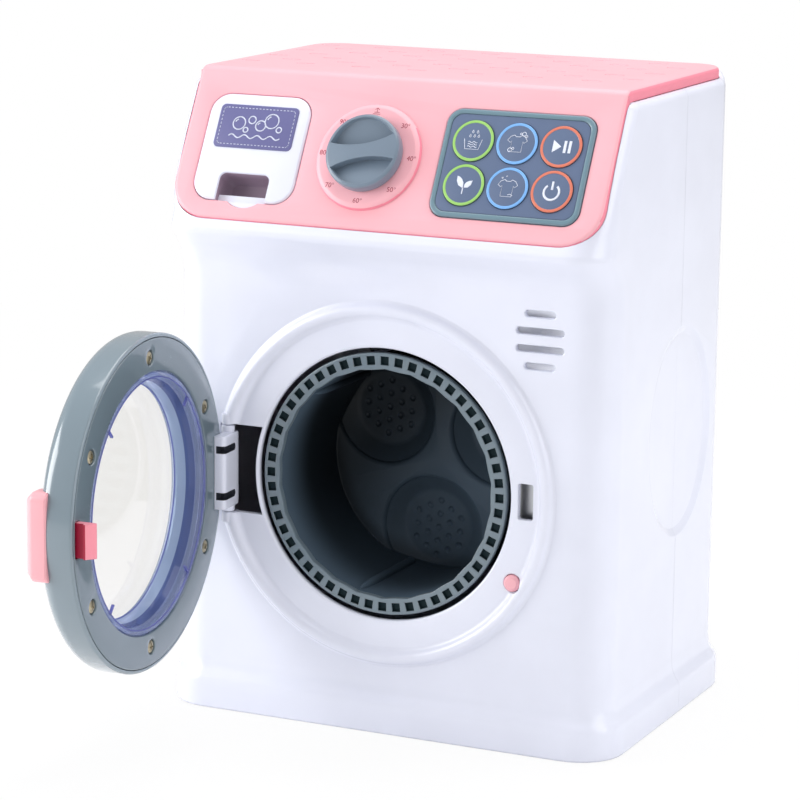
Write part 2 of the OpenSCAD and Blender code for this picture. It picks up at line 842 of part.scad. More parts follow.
module pad_plate() {
  color(navy) in_body() {
    difference() {
      on_panel(pad_x * spread, pad_s) translate([0, 0, -1.5])
        block(pad_fw - 2 * frame_w - 0.2, pad_fh - 2 * frame_w - 0.2, 1.9, pad_corner - frame_w - 0.1);
      for (k = [1 : 6]) {
        at_key(k) translate([0, 0, -5]) cylinder(r = key_fr + key_gap, h = 10);
      }
    }
  }
}

module key(k) {
  color(navy) in_body() {
    at_key(k) {
      translate([0, 0, -2.8]) cylinder(r = key_fr + 0.5, h = 1);
      translate([0, 0, -2]) cylinder(r = key_fr, h = 2.9);
    }
  }
}

module key_1() { key(1); }
module key_2() { key(2); }
module key_3() { key(3); }
module key_4() { key(4); }
module key_5() { key(5); }
module key_6() { key(6); }

module control_board() {
  color([0.15, 0.4, 0.25]) in_body() {
    on_panel(pad_x * spread, pad_s) translate([0, 0, -8]) block(pad_fw - 2, pad_fh - 2, 1.6, 3);
    on_panel(pad_x * spread, pad_s) translate([-6, -5, -9.6]) cube([12, 10, 1.7]);
  }
}

module key_switches() {
  color([0.8, 0.8, 0.8]) in_body() {
    for (k = [1 : 6]) {
      at_key(k) translate([0, 0, -6.4]) cylinder(r1 = 3.5, r2 = 2, h = 2.2);
    }
  }
}

module speaker() {
  color([0.2, 0.2, 0.22]) in_body() {
    difference() {
      union() {
        bore(speaker_x, speaker_z, speaker_r, wall, wall + 2);
        translate([speaker_x, wall + 1.9, speaker_z]) rotate([-90, 0, 0])
          cylinder(r1 = speaker_r - 0.8, r2 = 6.5, h = 4.1);
        bore(speaker_x, speaker_z, 7.5, wall + 5.9, wall + 9.5);
      }
      translate([speaker_x, wall - 0.1, speaker_z]) rotate([-90, 0, 0])
        cylinder(r1 = speaker_r - 1.8, r2 = 3, h = 4);
    }
  }
}

module door_button() {
  color(pink) in_body() {
    translate([button_x, -button_out, button_z]) rotate([-90, 0, 0]) {
      cylinder(r1 = button_r - 1, r2 = button_r, h = 0.7);
      translate([0, 0, 0.7]) cylinder(r = button_r, h = button_out + wall);
    }
    bore(button_x, button_z, button_r + 1.2, wall + 0.3, wall + 1.3);
    bore(button_x, button_z, 2, wall + 1, wall + 5.5);
  }
}

module door_switch() {
  color([0.25, 0.25, 0.27]) in_body() {
    translate([button_x - 3, wall + 5.8 + button_travel, button_z - 3]) cube([6, 4.5 - button_travel, 6]);
  }
}

module latch_keeper() {
  color(steel) in_body() {
    translate([slot_x - 5, wall + 3.7, drum_z - slot_h / 2 - 2.7]) cube([10, 0.6, slot_h + 5.4]);
  }
}

module hinge_pin() {
  color(steel) in_body() {
    translate([-hinge_x, -pin_out, drum_z - hinge_open_h / 2 - 2.9])
      cylinder(r = pin_r, h = hinge_open_h + 5.8);
  }
}

module hinge_arm() {
  pin_n = pin_out - door_gap;
  bar = hinge_open_h - 0.7;
  color(white) in_body() {
    in_door() {
      difference() {
        union() {
          translate([-hinge_x - 3, -arm_h / 2, -arm_t]) cube([arm_len + 3, arm_h, arm_t]);
          translate([-hinge_x, bar / 2, pin_n]) rotate([90, 0, 0]) cylinder(r = barrel_r, h = bar);
        }
        translate([-hinge_x, bar / 2 + 1, pin_n]) rotate([90, 0, 0])
          cylinder(r = pin_r + run_gap, h = bar + 2);
        for (j = [-1, 1]) {
          translate([-hinge_x + arm_len - 2, j * 9.2 - 1.35, -arm_t + 0.7]) cube([3, 2.7, arm_t - 1.4]);
          translate([-hinge_x + 1.8, j * 9.2 - 1.35, -arm_t - 1]) cube([5.6, 2.7, 2.3]);
        }
      }
    }
  }
}

// Six places of the door screws
module at_door_screws() {
  for (k = [0 : 5]) {
    rotate([0, 0, 30 + k * 60]) translate([door_screw_at, 0, 0]) children();
  }
}

// Way through the door rings for the neck of the hook
module neck_way(g) {
  translate([neck_x - g, -hook_h / 2 - g, -1]) cube([neck_t + 2 * g, hook_h + 2 * g, 2 * door_t]);
}

module door_inner_ring() {
  color(slate) in_body() {
    in_door() {
      difference() {
        cylinder(r = door_r, h = door_inner_t);
        translate([0, 0, -1]) cylinder(r = glass_r, h = 10);
        at_door_screws() {
          translate([0, 0, -1]) cylinder(r = 1.5, h = 10);
          translate([0, 0, -1]) cylinder(r = 2.7, h = 2.2);
        }
        neck_way(0.3);
      }
    }
  }
}

// Section of the door's outer ring
module ring_view() {
  intersection() {
    union() {
      translate([glass_r, 0]) square([door_outer_r - glass_r, door_t - door_round]);
      translate([glass_r, 0]) square([door_outer_r - door_round - glass_r, door_t]);
      translate([door_outer_r - door_round, door_t - door_round]) circle(door_round);
    }
    translate([glass_r, door_inner_t]) square([30, 30]);
  }
}

module door_outer_ring() {
  color(slate) in_body() {
    in_door() {
      difference() {
        union() {
          difference() {
            rotate_extrude() ring_view();
            rotate_extrude() translate([glass_r + 2.2, 0]) square([door_outer_r - glass_r - 4.6, 9.5]);
            cylinder(r = glass_r + 2.7, h = door_inner_t + 1.5);
          }
          at_door_screws() {
            translate([0, 0, door_inner_t]) cylinder(r = 2.9, h = 7);
          }
        }
        at_door_screws() {
          cylinder(r = 1.25, h = 11);
        }
        neck_way(0.3);
      }
    }
  }
}

module door_window() {
  n0 = door_inner_t;
  color([0.8, 0.8, 0.95, 0.35]) in_body() {
    in_door() {
      rotate_extrude() {
        polygon([[glass_r - 2.2, 0.3], [glass_r - 0.5, 0.3], [glass_r - 0.5, n0], [glass_r + 2.2, n0],
          [glass_r + 2.2, n0 + 1.5], [glass_r - 0.7, n0 + 1.5], [glass_r - 3.6, door_t - 1.8],
          [0, door_t - 1.8], [0, door_t - 3.2], [glass_r - 5.1, door_t - 3.2]]);
      }
    }
  }
}

module door_screws() {
  color([0.72, 0.62, 0.4]) in_body() {
    in_door() {
      at_door_screws() {
        difference() {
          translate([0, 0, 0.2]) cylinder(r = 2.5, h = 1);
          translate([-1.6, -0.35, -1]) cube([3.2, 0.7, 1.7]);
          translate([-0.35, -1.6, -1]) cube([0.7, 3.2, 1.7]);
        }
        translate([0, 0, 1.1]) cylinder(r = 1.2, h = 8);
      }
    }
  }
}

module door_handle() {
  color(pink) in_body() {
    in_door() {
      difference() {
        translate([door_outer_r - 5, 0, 7]) block(10.6, handle_h, door_t + handle_out - 7, 3);
        rotate_extrude() ring_view();
      }
      intersection() {
        translate([neck_x, -hook_h / 2, -1]) cube([neck_t, hook_h, door_t + 3]);
        translate([0, 0, -2]) cylinder(r = 80, h = 40);
      }
      translate([0, hook_h / 2, 0]) rotate([90, 0, 0]) linear_extrude(hook_h)
        polygon([[neck_x, 1], [neck_x, -7], [neck_x + 0.8, -7], [neck_x + 4, -4], [neck_x + 4, -3.4],
          [neck_x + neck_t, -3.2], [neck_x + neck_t, 1]]);
    }
  }
}

// Lobes of the drum's back, seen from the front one points down
module at_lobes() {
  for (k = [0 : 2]) {
    rotate([0, 0, spider_turn + 90 + k * 120]) translate([lobe_at, 0, drum_depth]) children();
  }
}

module drum() {
  z0 = ring_setback + ring_t;
  color(slate) in_body() {
    on_axis() {
      difference() {
        union() {
          translate([0, 0, z0]) cylinder(r = drum_r + drum_t, h = drum_depth + 1.6 - z0);
          intersection() {
            at_lobes() cylinder(r1 = lobe_r + 1.4, r2 = lobe_floor_r + 1.6, h = lobe_depth + 1.6);
            cylinder(r = drum_r + drum_t, h = drum_back);
          }
          translate([0, 0, drum_depth]) cylinder(r = 6.5, h = lobe_depth + 1.6);
        }
        translate([0, 0, -1]) cylinder(r = drum_r, h = drum_depth + 1);
        intersection() {
          at_lobes() translate([0, 0, -0.01]) cylinder(r1 = lobe_r, r2 = lobe_floor_r, h = lobe_depth);
          cylinder(r = drum_r, h = drum_back);
        }
        translate([0, 0, drum_depth + 2]) cylinder(r = axle_r + 0.02, h = 20);
      }
      for (k = [0 : 2]) {
        rotate([0, 0, spider_turn + 100 + k * 120]) intersection() {
          translate([drum_r + 2.5 - rib_h, 0, z0 + 4]) cylinder(r = 2.5, h = drum_depth - z0 - 3.5);
          translate([0, -5, 0]) cube([drum_r + 1, 10, drum_back]);
        }
      }
    }
  }
}

module drum_ring() {
  color(slate) in_body() {
    on_axis(ring_setback) {
      difference() {
        cylinder(r = ring_r, h = ring_t);
        translate([0, 0, -1]) cylinder(r = drum_r, h = ring_t + 2);
        for (k = [0 : window_count - 1]) {
          rotate([0, 0, k * 360 / window_count])
            translate([48.05 - window_h / 2, -window_w / 2, -1]) cube([window_h, window_w, 2.6]);
        }
      }
    }
  }
}

module drum_shaft() {
  color(steel) in_body() {
    on_axis(drum_depth + 2) cylinder(r = axle_r, h = plate_y + bearing_len + 5 - drum_depth - 2);
  }
}

// Toothed outline, tooth number 0 stands on the x axis
module teeth(n, pr) {
  w = PI * gear_m / 4 - backlash / 4;
  t = tan(pressure);
  ro = pr + 0.8 * gear_m;
  ri = pr - 1.25 * gear_m;
  pts = [for (k = [0 : n - 1]) for (q = [[ri, -1], [ro, -1], [ro, 1], [ri, 1]])
    let (h = (w - (q[0] - pr) * t) * q[1], a = k * 360 / n)
      [q[0] * cos(a) - h * sin(a), q[0] * sin(a) + h * cos(a)]];
  polygon(pts);
}

module drum_gear() {
  color(white) in_body() {
    on_axis(gear_y) {
      difference() {
        union() {
          rotate([0, 0, -motor_turn]) linear_extrude(gear_t) teeth(gear_n, gear_pr);
          translate([0, 0, drum_back - gear_y]) cylinder(r = 7, h = gear_t + 2);
        }
        translate([0, 0, -10]) cylinder(r = axle_r + 0.02, h = 30);
      }
    }
  }
}

module shaft_collar() {
  color(steel) in_body() {
    on_axis(plate_y + bearing_len + 0.4) {
      difference() {
        cylinder(r = 5.5, h = 3);
        translate([0, 0, -1]) cylinder(r = axle_r + 0.02, h = 6);
      }
    }
  }
}

module drum_bearing() {
  color([0.8, 0.65, 0.35]) in_body() {
    on_axis(plate_y - 1) {
      difference() {
        cylinder(r = 5, h = bearing_len + 1);
        translate([0, 0, -1]) cylinder(r = axle_r + run_gap, h = bearing_len + 4);
      }
    }
  }
}

module bearing_plate() {
  color(white) in_body() {
    on_axis(plate_y) {
      difference() {
        union() {
          block(2 * post_x + 10, 2 * post_z + 10, plate_t, 5);
          cylinder(r = 8.5, h = bearing_len);
        }
        translate([0, 0, -1]) cylinder(r = 5.02, h = bearing_len + 2);
        translate([motor_x, drum_z - motor_z, -1]) cylinder(r = 4, h = plate_t + 2);
        for (i = [-1, 1]) {
          for (j = [-1, 1]) {
            translate([i * post_x, j * post_z, -1]) cylinder(r = 1.6, h = plate_t + 2);
          }
        }
      }
    }
  }
}

module plate_screws() {
  color(steel) in_body() {
    for (i = [-1, 1]) {
      for (j = [-1, 1]) {
        bore(i * post_x, drum_z + j * post_z, 2.8, plate_y - 1.6, plate_y);
        bore(i * post_x, drum_z + j * post_z, 1.3, plate_y - 0.1, plate_y + plate_t + 9);
      }
    }
  }
}

module motor() {
  y = plate_y + plate_t;
  color(steel) in_body() {
    difference() {
      union() {
        bore(motor_x, motor_z, motor_r, y, y + motor_len);
        bore(motor_x, motor_z, 3.5, y - 2, y + 1);
      }
      bore(motor_x, motor_z, 1.05, y - 3, y + 10);
    }
  }
}

module motor_pinion() {
  y = plate_y + plate_t;
  color(white) in_body() {
    translate([motor_x, gear_y, motor_z]) rotate([-90, 0, 0])
      rotate([0, 0, -motor_turn + 180 + 180 / pinion_n]) linear_extrude(gear_t) teeth(pinion_n, pinion_pr);
    bore(motor_x, motor_z, 1, gear_y, y + 9);
  }
}

module battery_box() {
  color(white) in_body() {
    difference() {
      union() {
        translate([-bay_w - 1.5, bay_y - 1.5, bay_z0 - 1.5])
          cube([2 * bay_w + 3, body_d - wall - bay_y + 1.5, bay_z1 - bay_z0 + 3]);
        translate([-lid_w - 3, body_d - wall - 1.5, lid_z0 - 3])
          cube([2 * lid_w + 6, 1.5, lid_z1 - lid_z0 + 6]);
        bore(0, lid_screw_z, 4.8, body_d - wall - 11, body_d - wall);
      }
      translate([-bay_w, bay_y, bay_z0]) cube([2 * bay_w, 20, bay_z1 - bay_z0]);
      bore(0, lid_screw_z, 1.25, body_d - wall - 10, body_d);
    }
  }
}

module battery_contacts() {
  color(steel) in_body() {
    for (k = [0 : cell_n - 1]) {
      for (i = [-1, 1]) {
        z = cell_z + k * cell_pitch;
        translate([i * (bay_w - 0.2) - 0.2, bay_y + 2, z - 5.5]) cube([0.4, 11, 11]);
        translate([i > 0 ? cell_len / 2 : -bay_w + 0.3, bay_y + 0.5 + cell_r, z])
          rotate([0, 90, 0]) cylinder(r = 2.5, h = bay_w - 0.3 - cell_len / 2);
      }
    }
  }
}

module battery_cells() {
  color([0.3, 0.35, 0.4]) in_body() {
    for (k = [0 : cell_n - 1]) {
      translate([-cell_len / 2, bay_y + 0.5 + cell_r, cell_z + k * cell_pitch]) rotate([0, 90, 0])
        cylinder(r = cell_r, h = cell_len);
    }
  }
}

module battery_cover() {
  y = body_d - wall + 0.3;
  color(white) in_body() {
    difference() {
      translate([-lid_w, y, lid_z0]) cube([2 * lid_w, wall - 0.3, lid_z1 - lid_z0]);
      bore(0, lid_screw_z, 1.5, y - 1, y + 5);
      bore(0, lid_screw_z, 3, body_d - 1.1, body_d + 1);
    }
  }
}

module battery_screw() {
  color(steel) in_body() {
    difference() {
      bore(0, lid_screw_z, 2.6, body_d - 1.1, body_d - 0.2);
      translate([-1.6, body_d - 0.7, lid_screw_z - 0.35]) cube([3.2, 1, 0.7]);
      translate([-0.35, body_d - 0.7, lid_screw_z - 1.6]) cube([0.7, 1, 3.2]);
    }
    bore(0, lid_screw_z, 1.2, body_d - 10, body_d - 1);
  }
}

front_shell();
back_shell();
case_screws();
top_cover();
drawer_housing();
drawer();
drawer_label();
knob();
click_wheel();
rotary_switch();
pad_bezel();
pad_plate();
key_1();
key_2();
key_3();
key_4();
key_5();
key_6();
control_board();
key_switches();
speaker();
door_button();
door_switch();
latch_keeper();
hinge_pin();
hinge_arm();
door_inner_ring();
door_outer_ring();
door_window();
door_screws();
door_handle();
drum();
drum_ring();
drum_shaft();
drum_gear();
shaft_collar();
drum_bearing();
bearing_plate();
plate_screws();
motor();
motor_pinion();
battery_box();
battery_contacts();
battery_cells();
battery_cover();
battery_screw();
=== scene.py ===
# Toy front-loading washing machine, dressed for the photograph's view.
import json
import math

import bmesh
import bpy
from mathutils import Matrix, Vector


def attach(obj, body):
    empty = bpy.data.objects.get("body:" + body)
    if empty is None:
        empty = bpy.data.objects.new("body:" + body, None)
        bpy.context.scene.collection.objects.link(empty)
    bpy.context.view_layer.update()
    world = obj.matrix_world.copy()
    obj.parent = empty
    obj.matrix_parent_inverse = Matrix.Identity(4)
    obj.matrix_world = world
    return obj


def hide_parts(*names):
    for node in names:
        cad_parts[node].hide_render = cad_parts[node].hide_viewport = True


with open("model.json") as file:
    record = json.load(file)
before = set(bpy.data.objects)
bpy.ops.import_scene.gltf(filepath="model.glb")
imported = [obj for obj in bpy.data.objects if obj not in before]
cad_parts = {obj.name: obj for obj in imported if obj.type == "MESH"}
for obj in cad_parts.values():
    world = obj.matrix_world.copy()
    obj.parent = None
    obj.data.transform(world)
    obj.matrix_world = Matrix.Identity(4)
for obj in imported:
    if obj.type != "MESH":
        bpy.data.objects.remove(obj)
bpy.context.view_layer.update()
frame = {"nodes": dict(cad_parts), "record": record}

# Body shells: two white ABS mouldings, front and back, that meet at an upright joint.
# The form is drawn up from the foot ring by ring, the nose under the panel leans out,
# and the panel's pocket, the openings and the two side dishes are cut from the shell.
mm = 0.001
body_w, body_d, wall = 183.0, 130.0, 2.5
front_y = -body_d / 2
tilt = math.radians(28.5)
crease_back, total_h, rim_z = 20.7, 251.0, 246.6
nose_out, cove_z, cove_r, nose_r = 10.9, 171.3, 20.0, 3.0
drum_z, mouth_r = 97.5, 53.0
seam_y = front_y + 75.0


def new_piece(name, body):
    """Names the active object and hangs it on its body."""
    ob = bpy.context.object
    ob.name = name
    ob.data.name = name
    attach(ob, body)
    return ob


def pick(*pieces):
    """Selects these pieces alone and makes the first one active."""
    bpy.ops.object.select_all(action="DESELECT")
    for piece in pieces:
        piece.select_set(True)
    bpy.context.view_layer.objects.active = pieces[0]


def settle(ob):
    """Puts the piece's place into its mesh."""
    pick(ob)
    bpy.ops.object.transform_apply(location=True, rotation=True, scale=True)
    return ob


def shifted(ob, x, y, z=0.0):
    """Moves a fresh piece by millimetres."""
    ob.location = Vector((x, y, z)) * mm
    return settle(ob)


def placed(ob, matrix):
    """Moves a fresh piece by a matrix whose shift is in metres."""
    ob.matrix_world = matrix @ ob.matrix_world
    return settle(ob)


def smooth(ob, degrees=35):
    """Shades the piece smooth, but for edges sharper than the angle."""
    pick(ob)
    bpy.ops.object.shade_smooth_by_angle(angle=math.radians(degrees))


def apply(ob, kind, **settings):
    """Adds a modifier with its settings and applies it."""
    bpy.context.view_layer.objects.active = ob
    mod = ob.modifiers.new(kind.lower(), kind)
    for key, value in settings.items():
        setattr(mod, key, value)
    bpy.ops.object.modifier_apply(modifier=mod.name)


def carve(ob, tool, how="DIFFERENCE"):
    """Cuts the tool from the piece, or joins it, and removes the tool."""
    apply(ob, "BOOLEAN", operation=how, object=tool, solver="MANIFOLD")
    mesh = tool.data
    bpy.data.objects.remove(tool)
    bpy.data.meshes.remove(mesh)


def outward(ob):
    """Turns all faces of a closed piece outwards."""
    bm = bmesh.new()
    bm.from_mesh(ob.data)
    bmesh.ops.recalc_face_normals(bm, faces=bm.faces)
    if bm.calc_volume(signed=True) < 0:
        bmesh.ops.reverse_faces(bm, faces=bm.faces)
    bm.to_mesh(ob.data)
    bm.free()
    return ob


def drawn_up(rings, name="tool"):
    """A closed skin: a primitive circle drawn up ring by ring, given in millimetres."""
    bpy.ops.object.select_all(action="DESELECT")
    bpy.ops.mesh.primitive_circle_add(vertices=len(rings[0]), radius=1, fill_type="NGON")
    ob = bpy.context.object
    ob.name = name
    bpy.ops.object.mode_set(mode="EDIT")
    bm = bmesh.from_edit_mesh(ob.data)
    for v, p in zip(next(iter(bm.faces)).verts, rings[0]):
        v.co = Vector(p) * mm
    for low, ring in zip(rings, rings[1:]):
        bpy.ops.mesh.extrude_region_move(TRANSFORM_OT_translate={"value": (0, 0, 0)})
        bm = bmesh.from_edit_mesh(ob.data)
        spots = [Vector(p) * mm for p in low]
        for v in bm.verts:
            if v.select:
                k = min(range(len(spots)), key=lambda k: (spots[k] - v.co).length_squared)
                v.co = Vector(ring[k]) * mm
    bmesh.update_edit_mesh(ob.data)
    bpy.ops.object.mode_set(mode="OBJECT")
    return outward(ob)


def body_plan(off, shift, r_front, z, grow=0.0, corner=8):
    """One ring of the body: half-width less off, its front edge moved by shift."""
    half = body_w / 2 - off + grow
    low, high = front_y + shift - grow, front_y + body_d - off + grow
    r_back = max(15 - off + grow, 0.5)
    ends = ((half, low, r_front, -90), (half, high, r_back, 0), (-half, high, r_back, 90), (-half, low, r_front, 180))
    points = []
    for x, y, r, start in ends:
        cx = x - math.copysign(r, x)
        cy = y + r if y == low else y - r
        for k in range(corner + 1):
            a = math.radians(start + 90 * k / corner)
            points.append((cx + r * math.cos(a), cy + r * math.sin(a), z))
    return points


def on_slope(s, n=0.0):
    """(y, z) of a point at s down the panel and n out of it."""
    y = crease_back - s * math.sin(tilt) - n * math.cos(tilt)
    return front_y + y, total_h - s * math.cos(tilt) + n * math.sin(tilt)


def nose_line():
    """Front line of the body, upwards: height, shift, way out (y, z) and corner radius."""
    line = [(z, 0.0, (-1, 0), 15) for z in (21, 60, 100, 140, 160, cove_z)]
    for a in (9, 18, 27, 36, 45):
        t = math.radians(a)
        line.append((cove_z + cove_r * math.sin(t), -cove_r * (1 - math.cos(t)),
                     (-math.cos(t), -math.sin(t)), 15 + a / 45))
    s = (crease_back + nose_out - nose_r * (1 - math.cos(tilt))) / math.sin(tilt)
    y, z = on_slope(s, -nose_r)
    for a in (225, 210, 195, 180, 165, 151.5):
        t = math.radians(a)
        line.append((z + nose_r * math.sin(t), y - front_y + nose_r * math.cos(t), (math.cos(t), math.sin(t)), 16))
    for z, r in ((197, 15), (200, 13), (204, 10.5), (209, 8.5), (216, 7), (226, 6), (238, 6), (243.6, 6)):
        y = crease_back - (total_h - z) * math.tan(tilt)
        line.append((z, y, (-math.cos(tilt), math.sin(tilt)), r))
    return line


foot = ((0, 2.9), (0.6, 3.4), (1.6, 3.5), (10, 3.5), (11.4, 3.36), (12.7, 2.9), (13.8, 2.2), (15, 1.4),
        (16.5, 0.7), (18.5, 0.2))
rings = [body_plan(0, 0, 15 + out, z, out) for z, out in foot]
rings += [body_plan(0, shift, r, z) for z, shift, way, r in nose_line()]
rim_r = 3
for a in (22.5, 45, 67.5, 90):
    z = rim_z - rim_r + rim_r * math.sin(math.radians(a))
    inset = rim_r * (1 - math.cos(math.radians(a)))
    y = crease_back - (total_h - z) * math.tan(tilt)
    rings.append(body_plan(inset, y + inset * 0.4, 6, z))
# Behind the cover the rim steps up to meet its end.
step_up, step_back, step_run = 3.2, 121, 3.6
for k in (-4, -3, -2, -1):
    rings[k] = [(x, y, z + step_up * min(1.0, max(0.0, (y - front_y - step_back) / step_run)))
                for x, y, z in rings[k]]
shells = drawn_up(rings, "white_shells")
rings = [body_plan(wall, wall, 12.5, 2.5)]
for z, shift, (wy, wz), r in nose_line():
    rings.append(body_plan(wall, shift - wall * wy, max(r - wall, 3), z - wall * wz))
rings = [r for k, r in enumerate(rings) if k == 0 or r[0][2] > rings[k - 1][0][2] + 0.05]
rings.append(body_plan(wall, crease_back + 8, 3, total_h + 6))
carve(shells, drawn_up(rings))


def panel_matrix(x, s):
    """Local z out of the panel, local y up its slope, millimetres to metres."""
    y, z = on_slope(s)
    turn = Matrix.Rotation(math.pi / 2 - tilt, 4, "X")
    return Matrix.Translation(Vector((x, y, z)) * mm) @ turn


def rounded(w, h, r, z=0.0, corner=6):
    """Outline of a rounded rectangle."""
    points = []
    for sx, sy, start in ((1, -1, -90), (1, 1, 0), (-1, 1, 90), (-1, -1, 180)):
        for k in range(corner + 1):
            a = math.radians(start + 90 * k / corner)
            points.append((sx * (w / 2 - r) + r * math.cos(a), sy * (h / 2 - r) + r * math.sin(a), z))
    return points


def to_panel(ob, x, s):
    return placed(ob, panel_matrix(x, s))


# The cover's sheet is laid out flat, t running down the slope from the middle of the bend.
cover_w, cover_end, cover_y, bend_r = 88.7, 62.4, 127.2, 4.0
bend = math.pi / 2 - tilt
bend_len = bend_r * bend
bend_in = bend_r * math.tan(bend / 2)
t_low = cover_end - bend_in + bend_len / 2
t_high = -(cover_y - crease_back - bend_in + bend_len / 2)


def on_cover(t, h):
    """(y, z) of a place on the bent sheet, h above its outer face."""
    if t > bend_len / 2:
        return on_slope(t - bend_len / 2 + bend_in, h)
    if t < -bend_len / 2:
        return front_y + crease_back + bend_in - t - bend_len / 2, total_h + h
    a = (t / bend_len + 0.5) * bend
    return (front_y + crease_back + bend_in - (bend_r + h) * math.sin(a),
            total_h - bend_r + (bend_r + h) * math.cos(a))


def bent_sheet(levels, name="tool"):
    """The cover's outline raised through (growth, height) levels and bent over the crease."""
    rings = []
    for grow, h in levels:
        ring = []
        for sx, t, r, start in ((1, t_low, 16, 0), (-1, t_low, 16, 90), (-1, t_high, 12, 180), (1, t_high, 12, 270)):
            st = math.copysign(1, t)
            r += grow
            for k in range(11):
                a = math.radians(start + 9 * k)
                ring.append((sx * (cover_w + grow - r) + r * math.cos(a), t + st * (grow - r) + r * math.sin(a), h))
        rings.append(ring)
    ob = drawn_up(rings, name)
    bpy.ops.object.mode_set(mode="EDIT")
    for k in range(9):
        bpy.ops.mesh.select_all(action="SELECT")
        bpy.ops.mesh.bisect(plane_co=(0, (k / 8 - 0.5) * bend_len * mm, 0), plane_no=(0, 1, 0))
    bm = bmesh.from_edit_mesh(ob.data)
    for v in bm.verts:
        y, z = on_cover(v.co.y / mm, v.co.z / mm)
        v.co = Vector((v.co.x, y * mm, z * mm))
    bmesh.update_edit_mesh(ob.data)
    bpy.ops.object.mode_set(mode="OBJECT")
    return outward(ob)


cover_gap = 0.14
carve(shells, bent_sheet([(cover_gap, -3.2), (cover_gap, 9)]))


def lathed(profile, steps=96, name="tool"):
    """A ring about local z: its closed section of (radius, z) in millimetres, spun once round."""
    bpy.ops.object.select_all(action="DESELECT")
    bpy.ops.mesh.primitive_circle_add(vertices=len(profile), radius=1, fill_type="NOTHING")
    ob = bpy.context.object
    ob.name = name
    for v, (r, z) in zip(ob.data.vertices, profile):
        v.co = Vector((r, 0, z)) * mm
    bpy.ops.object.mode_set(mode="EDIT")
    bpy.ops.mesh.select_all(action="SELECT")
    bpy.ops.mesh.spin(steps=steps, angle=math.tau, center=(0, 0, 0), axis=(0, 0, 1))
    bpy.ops.mesh.select_all(action="SELECT")
    bpy.ops.mesh.remove_doubles(threshold=1e-6)
    bpy.ops.mesh.dissolve_degenerate(threshold=1e-7)
    bpy.ops.mesh.select_all(action="SELECT")
    bpy.ops.mesh.delete_loose()
    bpy.ops.object.mode_set(mode="OBJECT")
    return outward(ob)


def drum_line(y):
    """Local z to the back along the drum's line, from y behind the front face."""
    return Matrix.Translation(Vector((0, front_y + y, drum_z)) * mm) @ Matrix.Rotation(-math.pi / 2, 4, "X")


def softened(corners, steps=4):
    """A closed outline from (x, y, radius) corners, each corner rounded by its radius."""
    points = []
    for k, (x, y, r) in enumerate(corners):
        spot = Vector((x, y))
        a = Vector(corners[k - 1][:2]) - spot
        b = Vector(corners[(k + 1) % len(corners)][:2]) - spot
        if r <= 0:
            points.append((x, y))
            continue
        half = a.angle(b) / 2
        reach = min(r / math.tan(half), 0.49 * a.length, 0.49 * b.length)
        r = reach * math.tan(half)
        centre = spot + (a.normalized() + b.normalized()).normalized() * r / math.sin(half)
        first = spot + a.normalized() * reach - centre
        last = spot + b.normalized() * reach - centre
        sweep = math.atan2(first.x * last.y - first.y * last.x, first.dot(last))
        for j in range(steps + 1):
            c, w = math.cos(sweep * j / steps), math.sin(sweep * j / steps)
            points.append((centre.x + first.x * c - first.y * w, centre.y + first.x * w + first.y * c))
    return points


def disc(cx, cz, r, n=48):
    """A round outline, for a growth."""
    return lambda g: [(cx + (r + g) * math.cos(math.tau * k / n), cz + (r + g) * math.sin(math.tau * k / n))
                      for k in range(n)]


def lozenge(cx, cz, w, h, r, corner=6):
    """A rounded rectangle's outline, for a growth."""
    return lambda g: [(cx + x, cz + z)
                      for x, z, _ in rounded(w + 2 * g, h + 2 * g, max(r + g, 0.1), corner=corner)]


def raised(outline, levels):
    """A block along local z: the outline drawn up through (growth, z) levels."""
    return drawn_up([[(x, y, z) for x, y in outline(g)] for g, z in levels])


def mouth(outline, lip, depth):
    """A cutter down local z from the face z = 0, its rim opened by a small round."""
    levels = [(lip, 8), (lip, 0)]
    for a in (30, 60, 90):
        t = math.radians(a)
        levels.append((lip * (1 - math.sin(t)), lip * (math.cos(t) - 1)))
    return raised(outline, levels + [(0, -depth)])


def front_block(outline, deep):
    """A straight cutter through the front wall; its (x, z) outline is measured from the drum's middle."""
    return drawn_up([[(x, front_y + y, drum_z + z) for x, z in outline] for y in (-8, deep)])


# A bead runs round the door opening, but for the stretch where the hinge stands.
bead = lathed([(63.6, 1), (63.6, -0.02), (64.3, -0.12), (65.0, -0.6), (65.5, -1.3), (66.1, -1.95), (67.0, -2.4),
               (67.9, -2.5), (68.8, -2.3), (69.6, -1.7), (70.1, -0.9), (70.7, -0.25), (71.4, -0.02), (71.4, 1)], 160)
placed(bead, drum_line(0))
carve(bead, front_block(((-75, -17.6), (-58, -17.6), (-58, 17.6), (-75, 17.6)), 4))
carve(shells, bead, "UNION")

# Openings of the front wall: drum mouth, latch slot, button hole, speaker slots and the hinge's gap.
front_wall = Matrix.Translation(Vector((0, front_y, 0)) * mm) @ Matrix.Rotation(math.pi / 2, 4, "X")
carve(shells, placed(mouth(disc(0, drum_z, mouth_r, 160), 0.9, 6), front_wall))
carve(shells, placed(mouth(lozenge(59.1, drum_z, 6, 13.8, 0.9), 0.35, 5), front_wall))
carve(shells, placed(mouth(disc(54.3, drum_z - 31.7, 3.45, 40), 0.4, 5), front_wall))
for z, w in ((9.9, 12.4), (3.3, 19.3), (-3.3, 19.3), (-9.9, 12.4)):
    carve(shells, placed(mouth(lozenge(63.6, 159.2 + z, w, 2.7, 1.35, 8), 0.45, 5), front_wall))
gap_z, gap_r = 17.4, 54.2
gap = [(-69.6, gap_z), (-69.6, -gap_z)]
gap += [(-math.sqrt(gap_r ** 2 - z * z), z) for z in (-gap_z, -13, -8.7, -4.3, 0, 4.3, 8.7, 13, gap_z)]
carve(shells, front_block(gap, 5))

